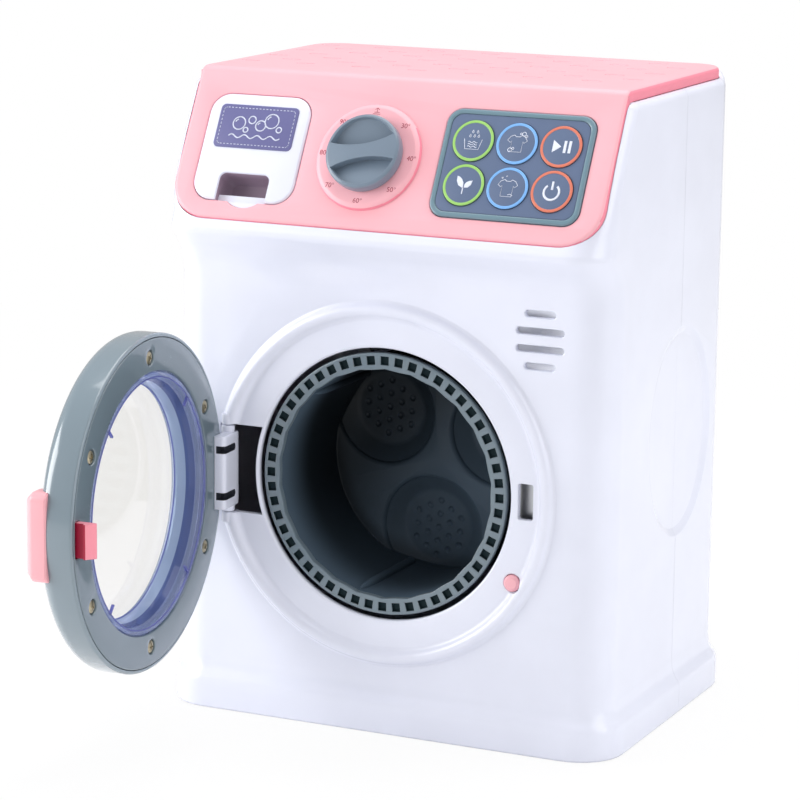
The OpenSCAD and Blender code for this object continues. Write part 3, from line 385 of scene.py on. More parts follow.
# A shallow upright oval is dished into each side wall.
dish_y, dish_z = front_y + 77, 113
for hand in (-1, 1):
    rings = []
    for t, dip in ((0, 1.5), (0.1, 1.46), (0.2, 1.34), (0.8, 0.16), (0.9, 0.04), (1, 0.0)):
        rings.append([(hand * (body_w / 2 - dip), dish_y + (30 + 4 * t) * math.cos(math.tau * j / 96),
                       dish_z + (38 + 4 * t) * math.sin(math.tau * j / 96)) for j in range(96)])
    rings.append([(hand * (body_w / 2 + 4), y, z) for x, y, z in rings[-1]])
    carve(shells, drawn_up(rings))


def halved(ob, y, keep_front, name):
    """A copy of the piece cut square at y and closed there."""
    pick(ob)
    bpy.ops.object.duplicate()
    bpy.ops.object.mode_set(mode="EDIT")
    bpy.ops.mesh.select_all(action="SELECT")
    bpy.ops.mesh.bisect(plane_co=(0, y * mm, 0), plane_no=(0, 1, 0), use_fill=True,
                        clear_outer=keep_front, clear_inner=not keep_front)
    bpy.ops.object.mode_set(mode="OBJECT")
    return new_piece(name, "cabinet")


def paint(ob, material, where, matrix):
    """Gives another material to the faces whose middle and normal, in the matrix's millimetres,
    pass the test."""
    ob.data.materials.append(material)
    inverse = matrix.inverted()
    for face in ob.data.polygons:
        if where(inverse @ face.center / mm, inverse.to_3x3() @ face.normal):
            face.material_index = len(ob.data.materials) - 1


front_skin = halved(shells, seam_y - 0.05, True, "front_skin")
back_skin = halved(shells, seam_y + 0.05, False, "back_skin")
bpy.data.objects.remove(shells)

# The back half has a well for each case screw and the opening of the battery cover.
back_wall = (Matrix.Translation(Vector((0, -front_y, 0)) * mm) @ Matrix.Rotation(math.pi, 4, "Z")
             @ Matrix.Rotation(math.pi / 2, 4, "X"))
for x, z in [(x, z) for x in (-76.5, 76.5) for z in (20, 128, 214)]:
    tube = raised(disc(x, z, 4.6, 40), [(0, -54.6), (0, -1)])
    carve(back_skin, placed(tube, back_wall), "UNION")
    carve(back_skin, placed(mouth(disc(x, z, 3.2, 40), 0.4, 49), back_wall))
    carve(back_skin, placed(raised(disc(x, z, 1.6, 24), [(0, -56), (0, -48)]), back_wall))
carve(back_skin, placed(mouth(lozenge(0, 59.2, 59.6, 58.1, 0.6), 0.3, 5), back_wall))


class Sock:
    """A shader socket that adds nodes when it is used in an expression."""

    def __init__(self, tree, out):
        self.tree = tree
        self.out = out

    def node(self, kind, settings=None, inputs=None, out=0):
        """A new node: its settings are made first, then its sockets are filled or linked."""
        n = self.tree.nodes.new("ShaderNode" + kind)
        for key, value in (settings or {}).items():
            setattr(n, key, value)
        for key, value in (inputs or {}).items():
            if isinstance(value, Sock):
                self.tree.links.new(value.out, n.inputs[key])
            else:
                n.inputs[key].default_value = value
        return Sock(self.tree, n.outputs[out])

    def math(self, what, *values):
        return self.node("Math", {"operation": what}, dict(enumerate(values)))

    def __add__(self, other):
        return self.math("ADD", self, other)

    def __rsub__(self, other):
        return self.math("SUBTRACT", other, self)

    def __mul__(self, other):
        return self.math("MULTIPLY", self, other)

    def step(self, low, high):
        """0 below low, 1 above high, with a smooth passage."""
        return self.node("MapRange", {"interpolation_type": "SMOOTHSTEP"}, {0: self, 1: low, 2: high})

    def tint(self, first, second):
        """The first colour where this is 0, the second where it is 1."""
        ends = {k: v if isinstance(v, Sock) else (*v, 1) for k, v in ((6, first), (7, second))}
        return self.node("Mix", {"data_type": "RGBA"}, {0: self, **ends}, out=2)


def new_material(name):
    """An empty material; gives it, a socket for object coordinates and its shader."""
    material = bpy.data.materials.new(name)
    material.use_nodes = True
    tree = material.node_tree
    return material, Sock(tree, None).node("TexCoord", out="Object"), tree.nodes["Principled BSDF"]


def moulded(name, colour, rough=0.3, grain=0.04, coat=0.0, wear_and_sheen=0.5, edge=0.35,
            shade=None, rim_colour=None, metal=0.0, specular=0.5):
    """Plastic or metal with faint flow marks in colour and gloss and a fine grain.
    Its edges are softened over the width edge and painted there: paler, as wear and a painted edge highlight, or in the
    rim's colour, a painted deeper tone of light in translucent edges."""
    material, place, shader = new_material(name)
    link = material.node_tree.links.new
    flow = place.node("TexNoise", None, {"Vector": place, "Scale": 28.0, "Detail": 3.0})
    fine = place.node("TexNoise", None, {"Vector": place, "Scale": 1500.0, "Detail": 2.0})
    soft = place.node("Bevel", {"samples": 4}, {"Radius": edge * mm})
    normal = place.node("NewGeometry", out="Normal")
    turn = place.node("VectorMath", {"operation": "DOT_PRODUCT"}, {0: soft, 1: normal}, out="Value")
    # Edge mask for wear and painted edge highlight: edges are tinted paler, or to the rim's colour.
    rim = (1 - turn).step(0.01, 0.2) * wear_and_sheen
    if shade:
        base = shade(place, colour)
    else:
        base = flow.step(0.3, 0.7).tint(tuple(c * 0.965 for c in colour), colour)
    base = rim.tint(base, rim_colour or tuple(min(1.0, c * 0.85 + 0.15) for c in colour))
    link(base.out, shader.inputs["Base Color"])
    gloss = flow * 0.06 + fine * 0.03 + (rough - 0.045)
    link(gloss.out, shader.inputs["Roughness"])
    bump = place.node("Bump", None, {"Strength": grain, "Distance": 0.02 * mm, "Height": fine, "Normal": soft})
    link(bump.out, shader.inputs["Normal"])
    for socket, value in (("Coat Weight", coat), ("Coat Roughness", 0.08), ("Metallic", metal),
                          ("Specular IOR Level", specular)):
        shader.inputs[socket].default_value = value
    return material


white = moulded("white_abs", (0.81, 0.83, 0.95), rough=0.24, coat=0.3, wear_and_sheen=0.3)
for skin in (front_skin, back_skin):
    smooth(skin, 32)
    skin.data.materials.clear()
    skin.data.materials.append(white)
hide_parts("front_shell")
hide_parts("back_shell")

# Top cover: one pink ABS sheet bent over the crease, its edges rounded all round.
# The dial's low boss stands on the slope, the roof has seven staggered rows of shallow dents,
# and the drawer and the key pad look out through openings with softened rims.
dial_x, dial_s = -9.2, 33.2
drawer_x, drawer_s = -58.6, 32.9
pad_x, pad_s = 49.4, 32.7


def soft_top(r, z, steps):
    """Levels of a rounded upper edge that ends at z."""
    turns = [math.radians(90 * k / steps) for k in range(steps + 1)]
    return [(r * (math.cos(t) - 1), z + r * (math.sin(t) - 1)) for t in turns]


cover = bent_sheet([(0, -2.5)] + soft_top(1.7, 0, 6), "top_skin")

# Its skirt is an upright lip in the shape of a horseshoe, which stands on the shells' rim.
lip_start, lip_end, lip_r = front_y + crease_back - 0.6, front_y + cover_y, 12
lip = []
for inset, way in ((0, 1), (2.2, -1)):
    line = [(cover_w - inset, lip_start)]
    for sx, start in ((1, 0), (-1, 90)):
        for k in range(9):
            a = math.radians(start + 11.25 * k)
            line.append((sx * (cover_w - lip_r) + (lip_r - inset) * math.cos(a),
                         lip_end - lip_r + (lip_r - inset) * math.sin(a)))
    lip += (line + [(inset - cover_w, lip_start)])[::way]
carve(cover, drawn_up([[(x, y, z) for x, y in lip] for z in (rim_z - 0.05, total_h - 1.9)]), "UNION")

boss_line = [(0, -1.6, 0), (21.5, -1.6, 0), (21.4, -0.1, 0), (20.9, 1.1, 0.9), (19.4, 1.8, 1.6), (0, 1.75, 0)]
carve(cover, to_panel(lathed(softened(boss_line), 96), dial_x, dial_s), "UNION")
carve(cover, to_panel(mouth(lozenge(0, 0, 43.3, 43.9, 8.2, 10), 0.5, 6), drawer_x, drawer_s))
carve(cover, to_panel(mouth(disc(0, 0, 10.4, 48), 0.5, 6), drawer_x + 1, drawer_s + 13.9))
carve(cover, to_panel(mouth(lozenge(0, 0, 60.0, 43.4, 6.2, 8), 0.4, 6), pad_x, pad_s))


def joined(parts):
    """One closed, outward piece of several."""
    pick(*parts)
    if len(parts) > 1:
        bpy.ops.object.join()
    bpy.ops.object.mode_set(mode="EDIT")
    bpy.ops.mesh.select_all(action="SELECT")
    bpy.ops.mesh.remove_doubles(threshold=1e-7)
    bpy.ops.object.mode_set(mode="OBJECT")
    return outward(parts[0])


dents = []
for row, k in [(row, k) for row in range(7) for k in range(7)]:
    x, y = -80 + 24 * k + row % 2 * 12, front_y + 45.05 + row * 11.8
    dents.append(drawn_up([[(x + dx, y + dy, total_h + z) for dx, dy, z in rounded(7.5 + g, 1.9 + g, 0.9, z, 4)]
                           for z, g in ((-0.55, -0.1), (-0.35, 0.0), (0, 0.5), (0.6, 0.7))]))
carve(cover, joined(dents))


def finish(ob, name, body, material, degrees=35, nodes=()):
    """Names a piece, hangs it on its body, smooths it and gives it its material."""
    pick(ob)
    new_piece(name, body)
    smooth(ob, degrees)
    ob.data.materials.clear()
    ob.data.materials.append(material)
    for node in nodes:
        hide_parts(node)
    return ob


# The pink's rounded edges are painted a deeper pink, a painted stand-in for light in the translucent plastic's edges.
pink = moulded("pink_abs", (0.95, 0.475, 0.535), rough=0.42, wear_and_sheen=0.7, edge=0.5, rim_colour=(0.93, 0.25, 0.34))
finish(cover, "top_skin", "cabinet", pink, 40, ["top_cover"])
# Painted shade: the cover's side faces and underfaces, the dial boss's sides among them, take a deeper pink.
pink_painted_shade = moulded("pink_painted_shade", (0.93, 0.27, 0.36), rough=0.45, wear_and_sheen=0.0)
paint(cover, pink_painted_shade, lambda p, n: abs(n.x) > 0.75 or n.z < -0.3, Matrix.Identity(4))


def plate(w, h, r, z0, z1, top=0.6, foot=0.0, corner=8):
    """A rounded plate from z0 to z1 with a rounded upper edge and, if asked, a rounded foot."""
    levels = [(0, z0)]
    if foot:
        turns = [math.radians(a) for a in (90, 60, 30, 0)]
        levels = [(foot * (math.cos(t) - 1), z0 + foot * (1 - math.sin(t))) for t in turns]
    return raised(lozenge(0, 0, w, h, r, corner), levels + soft_top(top, z1, 4))


# Soap drawer: a white ABS tray with a rounded front, pulled out along the panel's normal.
# A finger notch opens at its lower edge, walled behind, its pocket painted mauve as painted shade; the tub behind the
# front holds the soap.
# The navy plate glued on it is printed with a stitched border, a wave and bubbles.
drawer_w, drawer_h = 42.8, 43.4
drawer = plate(drawer_w, drawer_h, 8, -2.2, 0.6, 0.9)
carve(drawer, plate(36, 37, 1.5, -36, -2.0, 0.2), "UNION")
carve(drawer, plate(33, 34, 1.5, -34.5, -4.0, 0.2))
carve(drawer, shifted(plate(24, 14.4, 3.2, -10, -1.9, 0.1), 0, 8.8 - drawer_h / 2), "UNION")
notch = drawn_up([rounded(21.6, 14, 2.8, 4), rounded(21.6, 14, 2.8, 0.6), rounded(21, 13.4, 2.6, 0.1),
                  rounded(21, 13.4, 2.6, -4), rounded(20, 12.4, 2.4, -6.6), rounded(17, 9.6, 2.0, -8.3)])
carve(drawer, shifted(notch, 0, 4.3 - drawer_h / 2))
to_panel(drawer, drawer_x, drawer_s)
finish(drawer, "soap_drawer", "drawer_body", white, 35, ["drawer"])
# Painted shade: the notch's pocket faces are painted mauve, white plastic in shade with the pink's bounced light.
notch_painted_shade = moulded("notch_mauve_painted_shade", (0.30, 0.22, 0.29), rough=0.4, wear_and_sheen=0.0)
paint(drawer, notch_painted_shade, lambda p, n: abs(p.x) < 10.9 and p.y < -10.2 and -8.5 < p.z < -0.1 and n.y < 0.9,
      panel_matrix(drawer_x, drawer_s))
label_s = 24.6
navy_print = moulded("navy_print", (0.15, 0.15, 0.33), rough=0.3, grain=0.02, wear_and_sheen=0.1)
label = to_panel(plate(33.4, 17.7, 2, 0.55, 0.9, 0.2), drawer_x, label_s)
finish(label, "drawer_plate", "drawer_body", navy_print, 35, ["drawer_label"])


def inked(name, paths, width, z, lift=0.05):
    """Printed lines: curves with a round section, flattened onto height z of the panel."""
    data = bpy.data.curves.new(name, "CURVE")
    data.dimensions = "3D"
    data.bevel_depth = width / 2 * mm
    data.bevel_resolution = 1
    data.use_fill_caps = True
    for points, closed in paths:
        spline = data.splines.new("POLY")
        spline.points.add(len(points) - 1)
        for spot, (x, y) in zip(spline.points, points):
            spot.co = (x * mm, y * mm, 0, 1)
        spline.use_cyclic_u = closed
    ob = bpy.data.objects.new(name, data)
    bpy.context.scene.collection.objects.link(ob)
    pick(ob)
    bpy.ops.object.convert(target="MESH")
    ob = bpy.context.object
    ob.scale = (1, 1, lift / (width / 2))
    return shifted(ob, 0, 0, z)


def arc(cx, cy, r, start, end, n=16):
    turns = [math.radians(start + (end - start) * k / n) for k in range(n + 1)]
    return [(cx + r * math.cos(t), cy + r * math.sin(t)) for t in turns]


def circle(cx, cy, r, n):
    """A round line that closes on itself."""
    return arc(cx, cy, r, 0, 360, n), True


pale_ink = moulded("pale_ink", (0.72, 0.76, 0.92), rough=0.45, grain=0.02, wear_and_sheen=0.0)
stitch, plate_z = 1.5, 0.9
stitches = []
line = [(x, y) for x, y, _ in rounded(30.6, 14.9, 1.2, 0, 3)]
for (x0, y0), (x1, y1) in zip(line, line[1:] + line[:1]):
    run = math.hypot(x1 - x0, y1 - y0)
    count = max(1, round(run / stitch))
    for k in range(count if run > 0.4 else 0):
        a, b = (k + 0.2) / count, (k + 0.75) / count
        stitches.append(([(x0 + (x1 - x0) * a, y0 + (y1 - y0) * a), (x0 + (x1 - x0) * b, y0 + (y1 - y0) * b)], False))
border = inked("plate_stitches", stitches, 0.32, plate_z)
wave = [(-11 + 22 * k / 44, -4.1 + 0.7 * math.sin(math.tau * k / 11)) for k in range(45)]
bubbles = [circle(-7.5, 1.2, 2.6, 28), circle(-2.2, 2.8, 1.5, 24), circle(1.8, 0.6, 2.1, 28),
           circle(6.2, 2.7, 2.9, 28), circle(9.9, -0.6, 1.1, 20), circle(-4.2, -1.4, 1.0, 20)]
shines = [(arc(x, y, r, 110, 165, 6), False) for x, y, r in ((-7.5, 1.2, 1.7), (1.8, 0.6, 1.3), (6.2, 2.7, 2.0))]
motif = inked("plate_motif", [(wave, False)] + bubbles + shines, 0.55, plate_z)
stripe = to_panel(joined([border, motif]), drawer_x, label_s)
finish(stripe, "plate_print", "drawer_body", pale_ink, 40)

# Temperature knob: a slate ABS disc with two hollows that leave a waisted grip across it.
# It turns on the dial's boss, whose face is printed with seven temperatures and a fabric mark.
# The hollows are deepest beside the grip and rise towards the rim.
knob_slate = moulded("knob_slate", (0.185, 0.24, 0.31), rough=0.3, coat=0.2, wear_and_sheen=0.35, edge=0.3)
knob = lathed([(0, 2.1), (14.3, 2.1), (14.75, 2.5), (14.9, 3.2), (14.9, 5.9), (14.75, 6.6), (14.3, 7.05),
               (13.7, 7.2), (0, 7.2)], 96)
grip_x, grip_half, hollow_r = 12.6, 2.7, 13.2
for flip in (1, -1):
    turns = [math.radians(a) for a in range(32, 149, 4)]
    outline = [(x, grip_half + 2.3 * (x / grip_x) ** 2) for x in (-grip_x + 2 * grip_x * k / 24 for k in range(25))]
    outline += [(hollow_r * math.cos(t), hollow_r * math.sin(t)) for t in turns]
    outline = [(flip * x, flip * y) for x, y in outline]
    rings = [[(x * g, y if abs(y) < 4.5 else y * g, z) for x, y in outline]
             for z, g in ((9, 1.02), (7.2, 1.015), (6.6, 1.0))]
    rings.append([(x * 0.97, y * 0.99, 5.9 - 2.6 * max(0.0, 1 - (abs(y) - grip_half) / 9.4)) for x, y in outline])
    carve(knob, drawn_up(rings))
placed(knob, Matrix.Rotation(math.radians(12), 4, "Z"))
to_panel(knob, dial_x, dial_s)
finish(knob, "dial_knob", "knob_body", knob_slate, 32, ["knob"])
dial_ink = moulded("dial_ink", (0.42, 0.03, 0.07), rough=0.5, grain=0.02, wear_and_sheen=0.0)
marks = []
mark_r, mark_size, boss_z = 18.1, 2.7, 1.8
for k, word in enumerate(("30", "40", "50", "60", "70", "80", "90")):
    a = math.radians(90 - 45 * (k + 1))
    bpy.ops.object.text_add(location=(0, 0, 0))
    text = bpy.context.object
    text.data.body = word
    text.data.size = mark_size * mm
    text.data.align_x, text.data.align_y = "CENTER", "CENTER"
    text.data.extrude = 0.02 * mm
    bpy.ops.object.convert(target="MESH")
    x, y = mark_r * math.cos(a), mark_r * math.sin(a)
    marks.append(shifted(bpy.context.object, x - 0.35, y, boss_z))
    marks.append(inked("degree", [circle(x + 1.55, y + 0.7, 0.3, 10)], 0.14, boss_z, 0.03))
mark = [([(-1.5, 16.9), (1.5, 16.9)], False), ([(-1.1, 17.6), (1.1, 17.6)], False),
        ([(0, 17.6), (0, 19.4)], False), ([(-0.9, 18.6), (0, 19.4), (0.9, 18.6)], False)]
marks.append(inked("fabric_mark", mark, 0.24, boss_z, 0.03))
print_marks = to_panel(joined(marks), dial_x, dial_s)
finish(print_marks, "dial_print", "cabinet", dial_ink, 40)

# Key pad: a glossy navy-grey plate set in a teal-grey bezel, both slate ABS.
# Six round keys stand in it, each with a coloured ring and a printed sign.
# Upper row: soak, shirt with bubbles, start and pause. Lower row: leaf, fresh shirt, power.
key_pitch = 17.6
key_places = [((k % 3 - 1) * key_pitch, (0.5 - k // 3) * key_pitch) for k in range(6)]
bezel = plate(59.6, 43.0, 6, -2.4, 0.8, 0.7)
carve(bezel, drawn_up([rounded(56.4, 39.8, 4.6, 4), rounded(56.4, 39.8, 4.6, 0.8), rounded(55.7, 39.1, 4.4, 0.55),
                       rounded(55.5, 38.9, 4.3, 0.2), rounded(55.5, 38.9, 4.3, -4)]))
to_panel(bezel, pad_x, pad_s)
teal = moulded("bezel_abs", (0.16, 0.26, 0.32), rough=0.3, coat=0.2, wear_and_sheen=0.4, edge=0.25)
finish(bezel, "key_bezel", "cabinet", teal, 35, ["pad_bezel"])
pad_face = moulded("pad_face", (0.12, 0.165, 0.275), rough=0.35, grain=0.03, wear_and_sheen=0.1)
face = plate(55.4, 38.8, 4.4, -1.6, 0.4, 0.1)
for x, y in key_places:
    carve(face, raised(disc(x, y, 8.35, 48), [(0, -4), (0, 3)]))
to_panel(face, pad_x, pad_s)
finish(face, "key_plate", "cabinet", pad_face, 35, ["pad_plate"])
ring_colours = (("ring_green", (0.33, 0.62, 0.16)), ("ring_blue", (0.20, 0.45, 0.86)),
                ("ring_orange", (0.72, 0.20, 0.13)))
ring_inks = [moulded(n, c, rough=0.3, grain=0.02, coat=0.3, wear_and_sheen=0.5, edge=0.2) for n, c in ring_colours]
sign_ink = moulded("sign_ink", (0.78, 0.82, 0.95), rough=0.4, grain=0.02, wear_and_sheen=0.0)
shirt = [(-1.5, 3.3), (-0.8, 2.7), (0.8, 2.7), (1.5, 3.3), (2.9, 2.7), (3.9, 1.2), (2.7, 0.3), (2.2, 0.9),
         (2.2, -3.3), (-2.2, -3.3), (-2.2, 0.9), (-2.7, 0.3), (-3.9, 1.2), (-2.9, 2.7)]
tub = [([(-3.6, 0.6), (-2.7, -3.4), (2.7, -3.4), (3.6, 0.6)], False)]
tub += [([(-1.9 + 0.38 * k, y + 0.28 * math.sin(1.25 * k)) for k in range(11)], False) for y in (-0.6, -1.5, -2.4)]
tub += [([(x, y + 0.9), (x - 0.35, y), (x + 0.05, y - 0.3), (x + 0.4, y), (x, y + 0.9)], False)
        for x, y in ((-1.5, 1.6), (0.2, 1.6), (1.9, 1.6), (-0.7, 3.3), (1.2, 3.3))]
foam = [circle(x, y, r, 14) for x, y, r in ((2.2, 3.9, 0.75), (1.0, 3.9, 0.35), (3.3, 3.0, 0.4), (-2.3, -2.6, 0.8),
                                            (-1.2, -2.0, 0.4))]
sparks = [([(-2.6, 4.3), (-2.6, 3.5)], False), ([(-3.0, 3.9), (-2.2, 3.9)], False), ([(-1.0, 4.9), (-1.0, 4.3)], False),
          ([(-1.3, 4.6), (-0.7, 4.6)], False), ([(0.6, -2.6), (1.6, -2.3), (2.6, -2.8)], False)]
triangle = [(-3.3, -2.5), (0.1, 0), (-3.3, 2.5)]
bars = [[(x, -2.4), (x + 1.1, -2.4), (x + 1.1, 2.4), (x, 2.4)] for x in (1.0, 2.9)]
leaves = [[(-3.0, 3.4), (-2.9, 1.4), (-2.0, -0.3), (-0.3, -1.2), (0.1, -1.1), (-0.1, 0.9), (-1.0, 2.3), (-2.0, 3.1)],
          [(0.4, -1.1), (1.9, -1.0), (3.0, 0.1), (3.4, 1.9), (2.2, 1.7), (1.0, 1.1), (0.45, 0.2)],
          [(-0.2, -3.6), (0.25, -3.6), (0.25, -1.2), (-0.2, -1.2)]]
power = [(arc(0, -0.3, 3.0, 128, 412, 40), False), ([(0, 0.6), (0, 3.9)], False)]
# Each key's body, thin lines, thick lines and filled shapes.
keys = (("wash_key", tub, [], []), ("shirt_key", [(shirt, True)] + foam, [], []),
        ("play_key", [], [], [triangle] + bars), ("eco_key", [], [], leaves),
        ("rinse_key", [(shirt, True)] + sparks, [], []), ("power_key", [], power, []))
cap_z = 0.9
for k, (body, thin, thick, solid) in enumerate(keys):
    x, s = pad_x + key_places[k][0], pad_s - key_places[k][1]
    cap = to_panel(lathed([(0, -1.5), (8.1, -1.5), (8.1, 0.55), (7.9, 0.8), (7.5, cap_z), (0, 0.88)], 64), x, s)
    finish(cap, body + "_cap", body, pad_face, 35, [f"key_{k + 1}"])
    ring = lathed(softened([(7.05, 0.6, 0), (8.15, 0.6, 0), (8.15, 0.98, 0.25), (7.05, 1.02, 0.2)], 3), 64)
    finish(to_panel(ring, x, s), body + "_ring", body, ring_inks[k % 3], 35)
    parts = [inked("sign", thin, 0.3, cap_z, 0.06)] if thin else []
    parts += [inked("sign", thick, 0.95, cap_z, 0.08)] if thick else []
    parts += [drawn_up([[(*spot, z) for spot in shape] for z in (cap_z - 0.02, cap_z + 0.06)]) for shape in solid]
    finish(to_panel(joined(parts), x, s), body + "_sign", body, sign_ink, 40)

# Door: a slate ABS ring of two halves, screwed together from the inner side.
# It stands open on the hinge, its inner side to the right; the clear dome is held between the halves.
# Six brass-plated cross-head screws sit in shallow wells.
slate = moulded("slate_abs", (0.15, 0.20, 0.235), rough=0.26, coat=1.0, wear_and_sheen=0.35, edge=0.3)
door_open = math.radians(86.6)
pin_x, pin_out, ring_back = 66, 0.5, 1.1
pin = Matrix.Translation(Vector((-pin_x, front_y - pin_out, drum_z)) * mm)
door_place = (pin @ Matrix.Rotation(-door_open, 4, "Z") @ Matrix.Translation(Vector((pin_x, -ring_back, 0)) * mm)
              @ Matrix.Rotation(math.pi / 2, 4, "X"))
upside = Matrix.Rotation(math.pi, 4, "X")
inner = lathed(softened([(49.5, 0.0, 0.5), (61.9, 0.0, 0.4), (61.9, 2.9, 0.2), (49.5, 2.9, 0.3)], 4), 160)
screw_r = 55
screw_spots = [(screw_r * math.cos(math.radians(30 + 60 * k)), screw_r * math.sin(math.radians(30 + 60 * k)))
               for k in range(6)]
for x, y in screw_spots:
    well = mouth(disc(0, 0, 2.9, 32), 0.4, 1.4)
    carve(inner, placed(well, Matrix.Translation(Vector((x, y, 0)) * mm) @ upside))
carve(inner, placed(mouth(lozenge(58.9, 0, 3.8, 13.6, 0.6, 4), 0.3, 5), upside))
placed(inner, door_place)
finish(inner, "door_inner", "door_body", slate, 30, ["door_inner_ring"])
outline = [(49.5, 3.1, 0.3), (62.1, 3.1, 0), (62.1, 0.1, 0.3), (63.6, 0.4, 0.9), (63.6, 15.0, 9.0),
           (50.4, 15.0, 1.2), (49.5, 13.0, 1.0)]
outer = placed(lathed(softened(outline, 10), 160), door_place)
# Painted highlight: the outer half takes a paler copy of the slate, standing in for the broad highlight on its rim.
slate_painted_highlight = moulded("slate_painted_highlight", (0.205, 0.265, 0.31), rough=0.24, coat=1.0, wear_and_sheen=0.3)
finish(outer, "door_outer", "door_body", slate_painted_highlight, 30, ["door_outer_ring"])


def clear_plastic(name, tint, edge_tint, milk=0.0, cloud_tint=(1, 1, 1), shine=0.5):
    """Clear moulding: a glassy skin over a see-through body, tinted where it is seen edge on and
    milky where it is thick."""
    material, place, shader = new_material(name)
    link = material.node_tree.links.new
    facing = place.node("LayerWeight", None, {"Blend": 0.35}, out="Facing")
    cloud = place.node("TexNoise", None, {"Vector": place, "Scale": 45.0, "Detail": 2.0})
    body = (facing + cloud * 0.1).step(0.12, 0.95).tint(tint, edge_tint)
    through = place.node("BsdfTransparent")
    link(body.out, through.out.node.inputs["Color"])
    skin = place.node("BsdfGlossy", None, {"Color": (1, 1, 1, 1)})
    rough = cloud * 0.05 + 0.03
    link(rough.out, skin.out.node.inputs["Roughness"])
    fresnel = place.node("Fresnel", None, {"IOR": 1.45})
    if milk:
        haze = place.node("BsdfDiffuse", None, {"Color": (*cloud_tint, 1)})
        through = place.node("MixShader", None, {0: milk, 1: through, 2: haze})
    mixed = place.node("MixShader", None, {0: fresnel * shine, 1: through, 2: skin})
    link(mixed.out, material.node_tree.nodes["Material Output"].inputs["Surface"])
    return material


clear = clear_plastic("clear_ps", (0.985, 0.98, 0.965), (0.96, 0.955, 0.95), shine=0.15)
clear_wall = clear_plastic("clear_wall", (0.80, 0.87, 0.98), (0.55, 0.62, 0.88), 0.35, (0.50, 0.60, 0.80))
clear_rim = clear_plastic("clear_rim", (0.60, 0.66, 0.84), (0.42, 0.48, 0.70), 0.3, (0.42, 0.48, 0.72))
blue_edge = clear_plastic("clear_corner", (0.30, 0.36, 0.62), (0.16, 0.20, 0.46), 0.4, (0.14, 0.18, 0.38))
section = [(48.9, 0.35, 0.15), (48.9, 3.1, 0.2), (51.6, 3.1, 0.2), (51.6, 4.4, 0.2), (48.9, 4.4, 0.3),
           (46.1, 13.1, 1.6), (0, 13.2, 0), (0, 11.9, 0), (44.5, 11.85, 0.8), (45.5, 7.4, 0), (45.8, 6.2, 0.2),
           (46.6, 4.0, 0.3), (47.4, 0.35, 0.2)]
dome = placed(lathed(softened(section, 5), 128), door_place)
finish(dome, "door_dome", "door_body", clear, 30, ["door_window"])
paint(dome, clear_wall, lambda p, n: math.hypot(p.x, p.y) > 44.0 and p.z > 7.3, door_place)
paint(dome, blue_edge, lambda p, n: 45.3 < math.hypot(p.x, p.y) < 46.9 and 3.9 < p.z < 7.3, door_place)
paint(dome, clear_rim, lambda p, n: math.hypot(p.x, p.y) > 46.4 and p.z < 4.4, door_place)
violet = clear_plastic("clear_edge", (0.42, 0.42, 0.78), (0.20, 0.22, 0.60), 0.4, (0.25, 0.28, 0.62))
edges = []
for a in (46, 134, 226, 314):
    turn = Matrix.Rotation(math.radians(a), 4, "Z")
    edges.append(placed(plate(4.2, 0.8, 0.2, 0.3, 1.3, 0.1, corner=2),
                        turn @ Matrix.Translation(Vector((45.4, 0, 0)) * mm)))
edges.append(lathed([(44.3, 11.5), (44.7, 11.5), (44.7, 11.95), (44.3, 11.95)], 128))
edges.append(lathed([(47.05, 0.3), (47.5, 0.3), (47.5, 0.6), (47.05, 0.6)], 128))
finish(placed(joined(edges), door_place), "dome_edges", "door_body", violet, 30)
brass = moulded("brass_plated", (0.50, 0.44, 0.30), rough=0.3, grain=0.1, wear_and_sheen=0.3, edge=0.1, metal=0.9)
heads = []
for k, (x, y) in enumerate(screw_spots):
    head = lathed([(0, 1.3), (2.35, 1.3), (2.5, 1.0), (2.35, 0.55), (1.7, 0.2), (0, 0.05)], 32)
    for turn in (0, 90):
        cut = plate(2.9, 0.62, 0.15, -1, 0.75, 0.05, corner=1)
        carve(head, placed(cut, Matrix.Rotation(math.radians(turn + 23 * k), 4, "Z")))
    heads.append(shifted(head, x, y))
heads = placed(joined(heads), door_place)
finish(heads, "door_screw_heads", "door_body", brass, 30, ["door_screws"])

# Handle and latch: a pink ABS grip on the outer edge of the ring, with a block that passes
# the ring and ends in the latch hook on the inner side. The grip shows beyond the ring; the hook
# drops into the slot of the front wall.
grip_pink = moulded("grip_pink", (0.94, 0.44, 0.49), rough=0.35, coat=0.2, wear_and_sheen=0.2, edge=0.4)
levels = [(-0.5, 10.3), (0, 10.8), (0, 15.8), (-0.15, 16.4), (-2.7, 18.9), (-3.3, 19.25), (-4.1, 19.4)]
grip = drawn_up([rounded(10.6 + 2 * g, 33 + 2 * g, max(3 + g, 0.5), z, 8) for g, z in levels])
shifted(grip, 58.6, 0)
carve(grip, lathed(softened([(40, 2.5, 0), (63.3, 2.5, 0), (63.3, 14.8, 8.8), (40, 14.8, 0)], 10), 160))
placed(grip, door_place)
finish(grip, "handle_grip", "door_body", grip_pink, 35, ["door_handle"])
hook_line = softened([(57.5, 4.5, 0), (57.5, -7, 0.5), (58.3, -7, 0.3), (61.5, -4, 0.5), (61.5, -3.4, 0.2),
                      (60.2, -3.2, 0.3), (60.2, 4.5, 0)], 3)
hook_half = 6.4
hook = placed(drawn_up([[(x, y, z) for x, z in hook_line] for y in (-hook_half, hook_half)]), door_place)
latch_pink = moulded("latch_pink", (0.95, 0.30, 0.38), rough=0.35, coat=0.2, wear_and_sheen=0.3, edge=0.4)
# Painted shade: the hook's outer side and one end are painted crimson, the shaded faces of the pink hook.
latch_painted_shade = moulded("latch_painted_shade", (0.42, 0.004, 0.04), rough=0.4, wear_and_sheen=0.1, edge=0.4)
finish(hook, "latch_hook", "door_body", latch_pink, 35)
paint(hook, latch_painted_shade, lambda p, n: n.x > 0.7 or n.y < -0.7, door_place)

